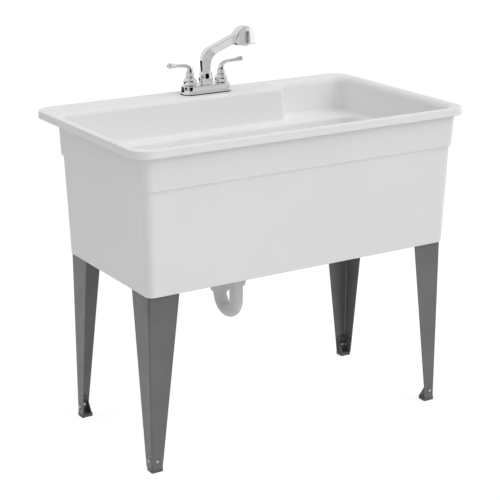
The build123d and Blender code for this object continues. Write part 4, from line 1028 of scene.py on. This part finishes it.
class SINK_OT_spout(bpy.types.Operator):
    """The swing spout: riser, bend and arm in one sweep, with the domed outlet head"""

    bl_idname = "laundry_sink.spout"
    bl_label = "Swing spout"

    def execute(self, context):
        top = HUB_HIGH.z
        build = bmesh.new()
        bridge_closed(build, [section_ring(x, top + rise, slope, depth, width, corner)
                              for x, rise, slope, depth, width, corner in smooth_line(SPOUT_SECTIONS, 6)])
        self.head(build, top + ARM_END - HEAD_DROP)
        self.neck(build, top + SPOUT_SEAT + STUB_LAP)
        finished_piece("swing_spout", build, "chrome", "swing_spout", ["spout"])
        return {"FINISHED"}

    def head(self, build, level):
        """The domed block: its side profile carried across, drawn in round both cheeks."""
        line = [Vector(point) for point in smooth_line(HEAD_PROFILE, 5)]
        line += [Vector((HEAD_LENGTH * (1 - step / HEAD_FLOOR_STEPS), 0.0))
                 for step in range(1, HEAD_FLOOR_STEPS)]
        count = len(line)
        inward = []
        for i, point in enumerate(line):
            along = line[(i + 1) % count] - line[i - 1]
            inward.append(Vector((along.y, -along.x)).normalized())
        rings = []
        cheeks = [(-1, angle) for angle in range(90, -1, -15)] + [(1, angle) for angle in range(0, 91, 15)]
        for side, angle in cheeks:
            turn = math.radians(angle)
            inset = HEAD_ROUND * (1 - math.cos(turn))
            across = TAP_Y + side * (HEAD_WIDTH / 2 - HEAD_ROUND * (1 - math.sin(turn)))
            rings.append([
                (ARM_REACH + point.x + way.x * inset, across, max(level, level + point.y + way.y * inset))
                for point, way in zip(line, inward)
            ])
        bridge_closed(build, rings)

    def neck(self, build, top):
        """The plain turned neck that goes down into the hub."""
        shoulder, shoulder_top = (HUB_LOW.z + rise for rise in STUB_SHOULDER)
        turned(build, (0, TAP_Y), [(0, SPOUT_FOOT), (STUB[0], SPOUT_FOOT), (STUB[0], shoulder),
                                   (STUB[1], shoulder_top), (STUB[1], top), (0, top)])


# ---------------------------------------------------------------- the waste
NUT_BORE = 0.0193
NUT_EDGE = 0.0012
NUT_RIBS = 14
NUT_RIB = 0.0013               # radius of a grip rib


class SINK_OT_waste(bpy.types.Operator):
    """The strainer, tailpiece, trap and their hand nuts"""

    bl_idname = "laundry_sink.waste"
    bl_label = "Waste and trap"

    def execute(self, context):
        for name in SHOWN_PARTS:
            dress(name, 0.0004)
        for name in HIDDEN_PARTS:
            dress(name, 0.0002)
        for name in ("tailpiece_nut", "trap_inlet_nut", "trap_outlet_nut"):
            self.hand_nut(name)
        return {"FINISHED"}

    def hand_nut(self, name):
        """A slip nut: a shell with rounded rims, a hole for the tube and grip ribs."""
        low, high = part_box(name)
        centre = ((low.x + high.x) / 2, (low.y + high.y) / 2)
        outer = (high.x - low.x) / 2 - NUT_RIB
        foot, top = low.z + NUT_EDGE, high.z - NUT_EDGE
        build = bmesh.new()
        turned(build, centre, [(NUT_BORE, low.z), (outer - NUT_EDGE, low.z), (outer, foot), (outer, top),
                               (outer - NUT_EDGE, high.z), (NUT_BORE, high.z), (NUT_BORE, low.z)])
        made = grip_ribs(name + "_ribbed", mesh_from(build, name), (*centre, (low.z + high.z) / 2), NUT_RIBS,
                         outer, NUT_RIB, top - foot, "white_pvc")
        for face in made.polygons:
            face.use_smooth = True
        piece = new_piece(name + "_ribbed", made, replaced=[name])
        soften(piece)


# ---------------------------------------------------------------- floor, light and camera
CAMERA_PLACE = (-2.0481, -3.2900, 1.6788)
CAMERA_AZIMUTH = -31.85        # degrees: 0 looks along +Y
CAMERA_ELEVATION = 17.46
CAMERA_LENS = 105.04           # millimetres on a 36 mm sensor
FLOOR_REACH = 40.0
CARDS = (                      # name, glow, centre and size
    ("card_camera", 0.0, (0.11, -2.75, 1.60), (3.68, 0.01, 1.10)),
    ("card_camera_strip", 0.0, (-0.16, -2.75, 0.88), (3.14, 0.01, 0.36)),
    ("card_low", 0.78, (0.0, -2.74, 0.35), (5.20, 0.01, 0.70)),
    ("card_front_left", 0.50, (-2.17, -2.76, 1.45), (0.88, 0.01, 1.50)),
    ("card_front_right", 0.62, (2.01, -2.77, 1.45), (1.20, 0.01, 1.50)),
    ("card_left", 0.50, (-2.60, -1.60, 1.10), (0.01, 2.30, 2.20)),
    ("card_left_dark", 0.0, (-2.60, 0.45, 1.00), (0.01, 1.80, 0.60)),
    ("card_behind_left", 0.04, (-2.40, 1.76, 0.35), (0.01, 1.28, 0.70)),
    ("card_behind", 0.04, (-1.39, 2.40, 0.35), (2.02, 0.01, 0.70)),
    ("card_behind_right", 0.05, (1.52, 2.65, 0.70), (1.76, 0.01, 1.00)),
    ("card_over", 0.0, (0.20, -0.75, 3.30), (4.40, 0.90, 0.01)),
    ("card_outlet", 0.0, (0.566, -0.475, 0.877), (0.0135, 0.001, 0.043)),
    ("card_outlet_light", 1.10, (0.597, -0.475, 0.877), (0.0480, 0.001, 0.080)),
    ("card_outlet_grey", 0.58, (0.534, -0.475, 0.877), (0.0500, 0.001, 0.080)),
)
FLOOR_GLOW = 0.86              # of the floor where it is seen or mirrored
FLOOR_SEEN = 0.25              # paint that keeps the shadow there
FLOOR_LIT = 0.80               # paint that throws the light back up
SKY_LEVEL = 0.42
SUNS = (                       # name, strength, width in degrees and the way that its light goes
    ("key", 0.86, 60, (-0.50, 0.50, -0.71)),
    ("low_key", 0.34, 60, (-0.66, 0.66, -0.34)),
    ("rear", 0.36, 60, (0.20, -0.68, -0.71)),
    ("left", 0.16, 60, (0.71, 0.0, -0.71)),
    ("over", 0.38, 60, (0.0, 0.0, -1.0)),
    ("front", 0.15, 60, (0.0, 0.71, -0.71)),
)


def bare_tree(owner):
    """The emptied node tree of a new material or world."""
    owner.use_nodes = True
    owner.node_tree.nodes.clear()
    return owner.node_tree


def seen_or_mirrored(tree):
    """One where the camera looks, straight or by way of a mirror or glass, and zero for other light."""
    rays = add_node(tree, "ShaderNodeLightPath").outputs
    seen = math_node(tree, "MAXIMUM", rays["Is Camera Ray"], rays["Is Glossy Ray"])
    return math_node(tree, "MAXIMUM", seen, rays["Is Transmission Ray"])


class SINK_OT_stage(bpy.types.Operator):
    """Floor, soft studio light and the camera"""

    bl_idname = "laundry_sink.stage"
    bl_label = "Stage"

    def execute(self, context):
        scene = context.scene
        scene.view_settings.view_transform = "Standard"
        self.floor()
        self.world(scene)
        self.lamps()
        self.cards()
        azimuth = math.radians(CAMERA_AZIMUTH)
        elevation = math.radians(CAMERA_ELEVATION)
        forward = Vector((-math.sin(azimuth) * math.cos(elevation), math.cos(azimuth) * math.cos(elevation),
                          -math.sin(elevation)))
        camera = bpy.data.objects.new("camera", bpy.data.cameras.new("camera"))
        camera.data.sensor_width = 36
        camera.data.lens = CAMERA_LENS
        camera.location = CAMERA_PLACE
        camera.rotation_mode = "QUATERNION"
        camera.rotation_quaternion = forward.to_track_quat("-Z", "Y")
        scene.collection.objects.link(camera)
        scene.camera = camera
        return {"FINISHED"}

    def floor(self):
        """A pale floor that the camera sees white, with the object's shadow kept."""
        build = bmesh.new()
        bmesh.ops.create_grid(build, x_segments=1, y_segments=1, size=FLOOR_REACH)
        plane = bpy.data.objects.new("floor", mesh_from(build, "floor"))
        plane.location.z = -0.0005
        bpy.context.scene.collection.objects.link(plane)
        made = bpy.data.materials.new("floor")
        tree = bare_tree(made)
        glow = add_node(tree, "ShaderNodeEmission", {"Strength": FLOOR_GLOW})
        paint_seen, paint_lit = (add_node(tree, "ShaderNodeBsdfDiffuse", {"Color": (level, level, level, 1)})
                                 for level in (FLOOR_SEEN, FLOOR_LIT))
        white = add_node(tree, "ShaderNodeAddShader", {0: glow.outputs[0], 1: paint_seen.outputs[0]})
        choose = add_node(tree, "ShaderNodeMixShader", {
            "Fac": seen_or_mirrored(tree), 1: paint_lit.outputs[0], 2: white.outputs[0]})
        add_node(tree, "ShaderNodeOutputMaterial", {"Surface": choose.outputs[0]})
        plane.data.materials.append(made)

    def world(self, scene):
        """An even grey sky for the light, white where it is seen or mirrored."""
        sky = bpy.data.worlds.new("studio")
        tree = bare_tree(sky)
        level = add_node(tree, "ShaderNodeMapRange", {
            "Value": seen_or_mirrored(tree), "To Min": SKY_LEVEL, "To Max": 1.0})
        glow = add_node(tree, "ShaderNodeBackground", {"Strength": level.outputs["Result"]})
        add_node(tree, "ShaderNodeOutputWorld", {"Surface": glow.outputs[0]})
        scene.world = sky

    def lamps(self):
        """Broad soft suns: the strongest from the front right and above, with weak fills."""
        for name, strength, spread, towards in SUNS:
            lamp = bpy.data.objects.new(name, bpy.data.lights.new(name, "SUN"))
            lamp.data.energy = strength
            lamp.data.angle = math.radians(spread)
            lamp.rotation_mode = "QUATERNION"
            lamp.rotation_quaternion = Vector(towards).to_track_quat("-Z", "Y")
            lamp.visible_glossy = False
            bpy.context.scene.collection.objects.link(lamp)

    def cards(self):
        """Grey and black cards that only mirrors see, as round polished metal in a studio."""
        paints = {}
        for name, glow, centre, size in CARDS:
            if glow not in paints:
                paints[glow] = self.card_paint(glow)
            build = bmesh.new()
            place = Matrix.Translation(centre) @ Matrix.Diagonal((*size, 1))
            bmesh.ops.create_cube(build, size=1.0, matrix=place)
            card = bpy.data.objects.new(name, mesh_from(build, name))
            card.data.materials.append(paints[glow])
            bpy.context.scene.collection.objects.link(card)
            card.visible_camera = False
            card.visible_diffuse = False
            card.visible_shadow = False

    def card_paint(self, glow):
        """An even grey that no lamp changes."""
        made = bpy.data.materials.new("card")
        tree = bare_tree(made)
        even = add_node(tree, "ShaderNodeEmission", {"Strength": glow})
        add_node(tree, "ShaderNodeOutputMaterial", {"Surface": even.outputs[0]})
        return made


class SINK_PT_panel(bpy.types.Panel):
    """Builds the laundry sink piece by piece"""

    bl_idname = "SINK_PT_panel"
    bl_label = "Laundry Sink"
    bl_space_type = "VIEW_3D"
    bl_region_type = "UI"
    bl_category = "Laundry Sink"

    def draw(self, context):
        layout = self.layout
        for name in SETTINGS:
            settings = getattr(context.scene, name)
            box = layout.box()
            for key in settings.__annotations__:
                box.prop(settings, key)
        for operator in OPERATORS:
            layout.operator(operator.bl_idname)


OPERATORS = (
    SINK_OT_stage,
    SINK_OT_tub,
    SINK_OT_legs,
    SINK_OT_waste,
    SINK_OT_tap_plate,
    SINK_OT_bonnets,
    SINK_OT_hub,
    SINK_OT_handles,
    SINK_OT_spout,
)
CLASSES = (TubSizes, SinkColours, *OPERATORS, SINK_PT_panel)


def register():
    for made in CLASSES:
        bpy.utils.register_class(made)
    for name, group in SETTINGS.items():
        setattr(bpy.types.Scene, name, bpy.props.PointerProperty(type=group))


def unregister():
    for name in SETTINGS:
        delattr(bpy.types.Scene, name)
    for made in reversed(CLASSES):
        bpy.utils.unregister_class(made)


def main():
    register()
    for operator in OPERATORS:
        group, name = operator.bl_idname.split(".")
        getattr(getattr(bpy.ops, group), name)()


if __name__ == "__main__":
    main()
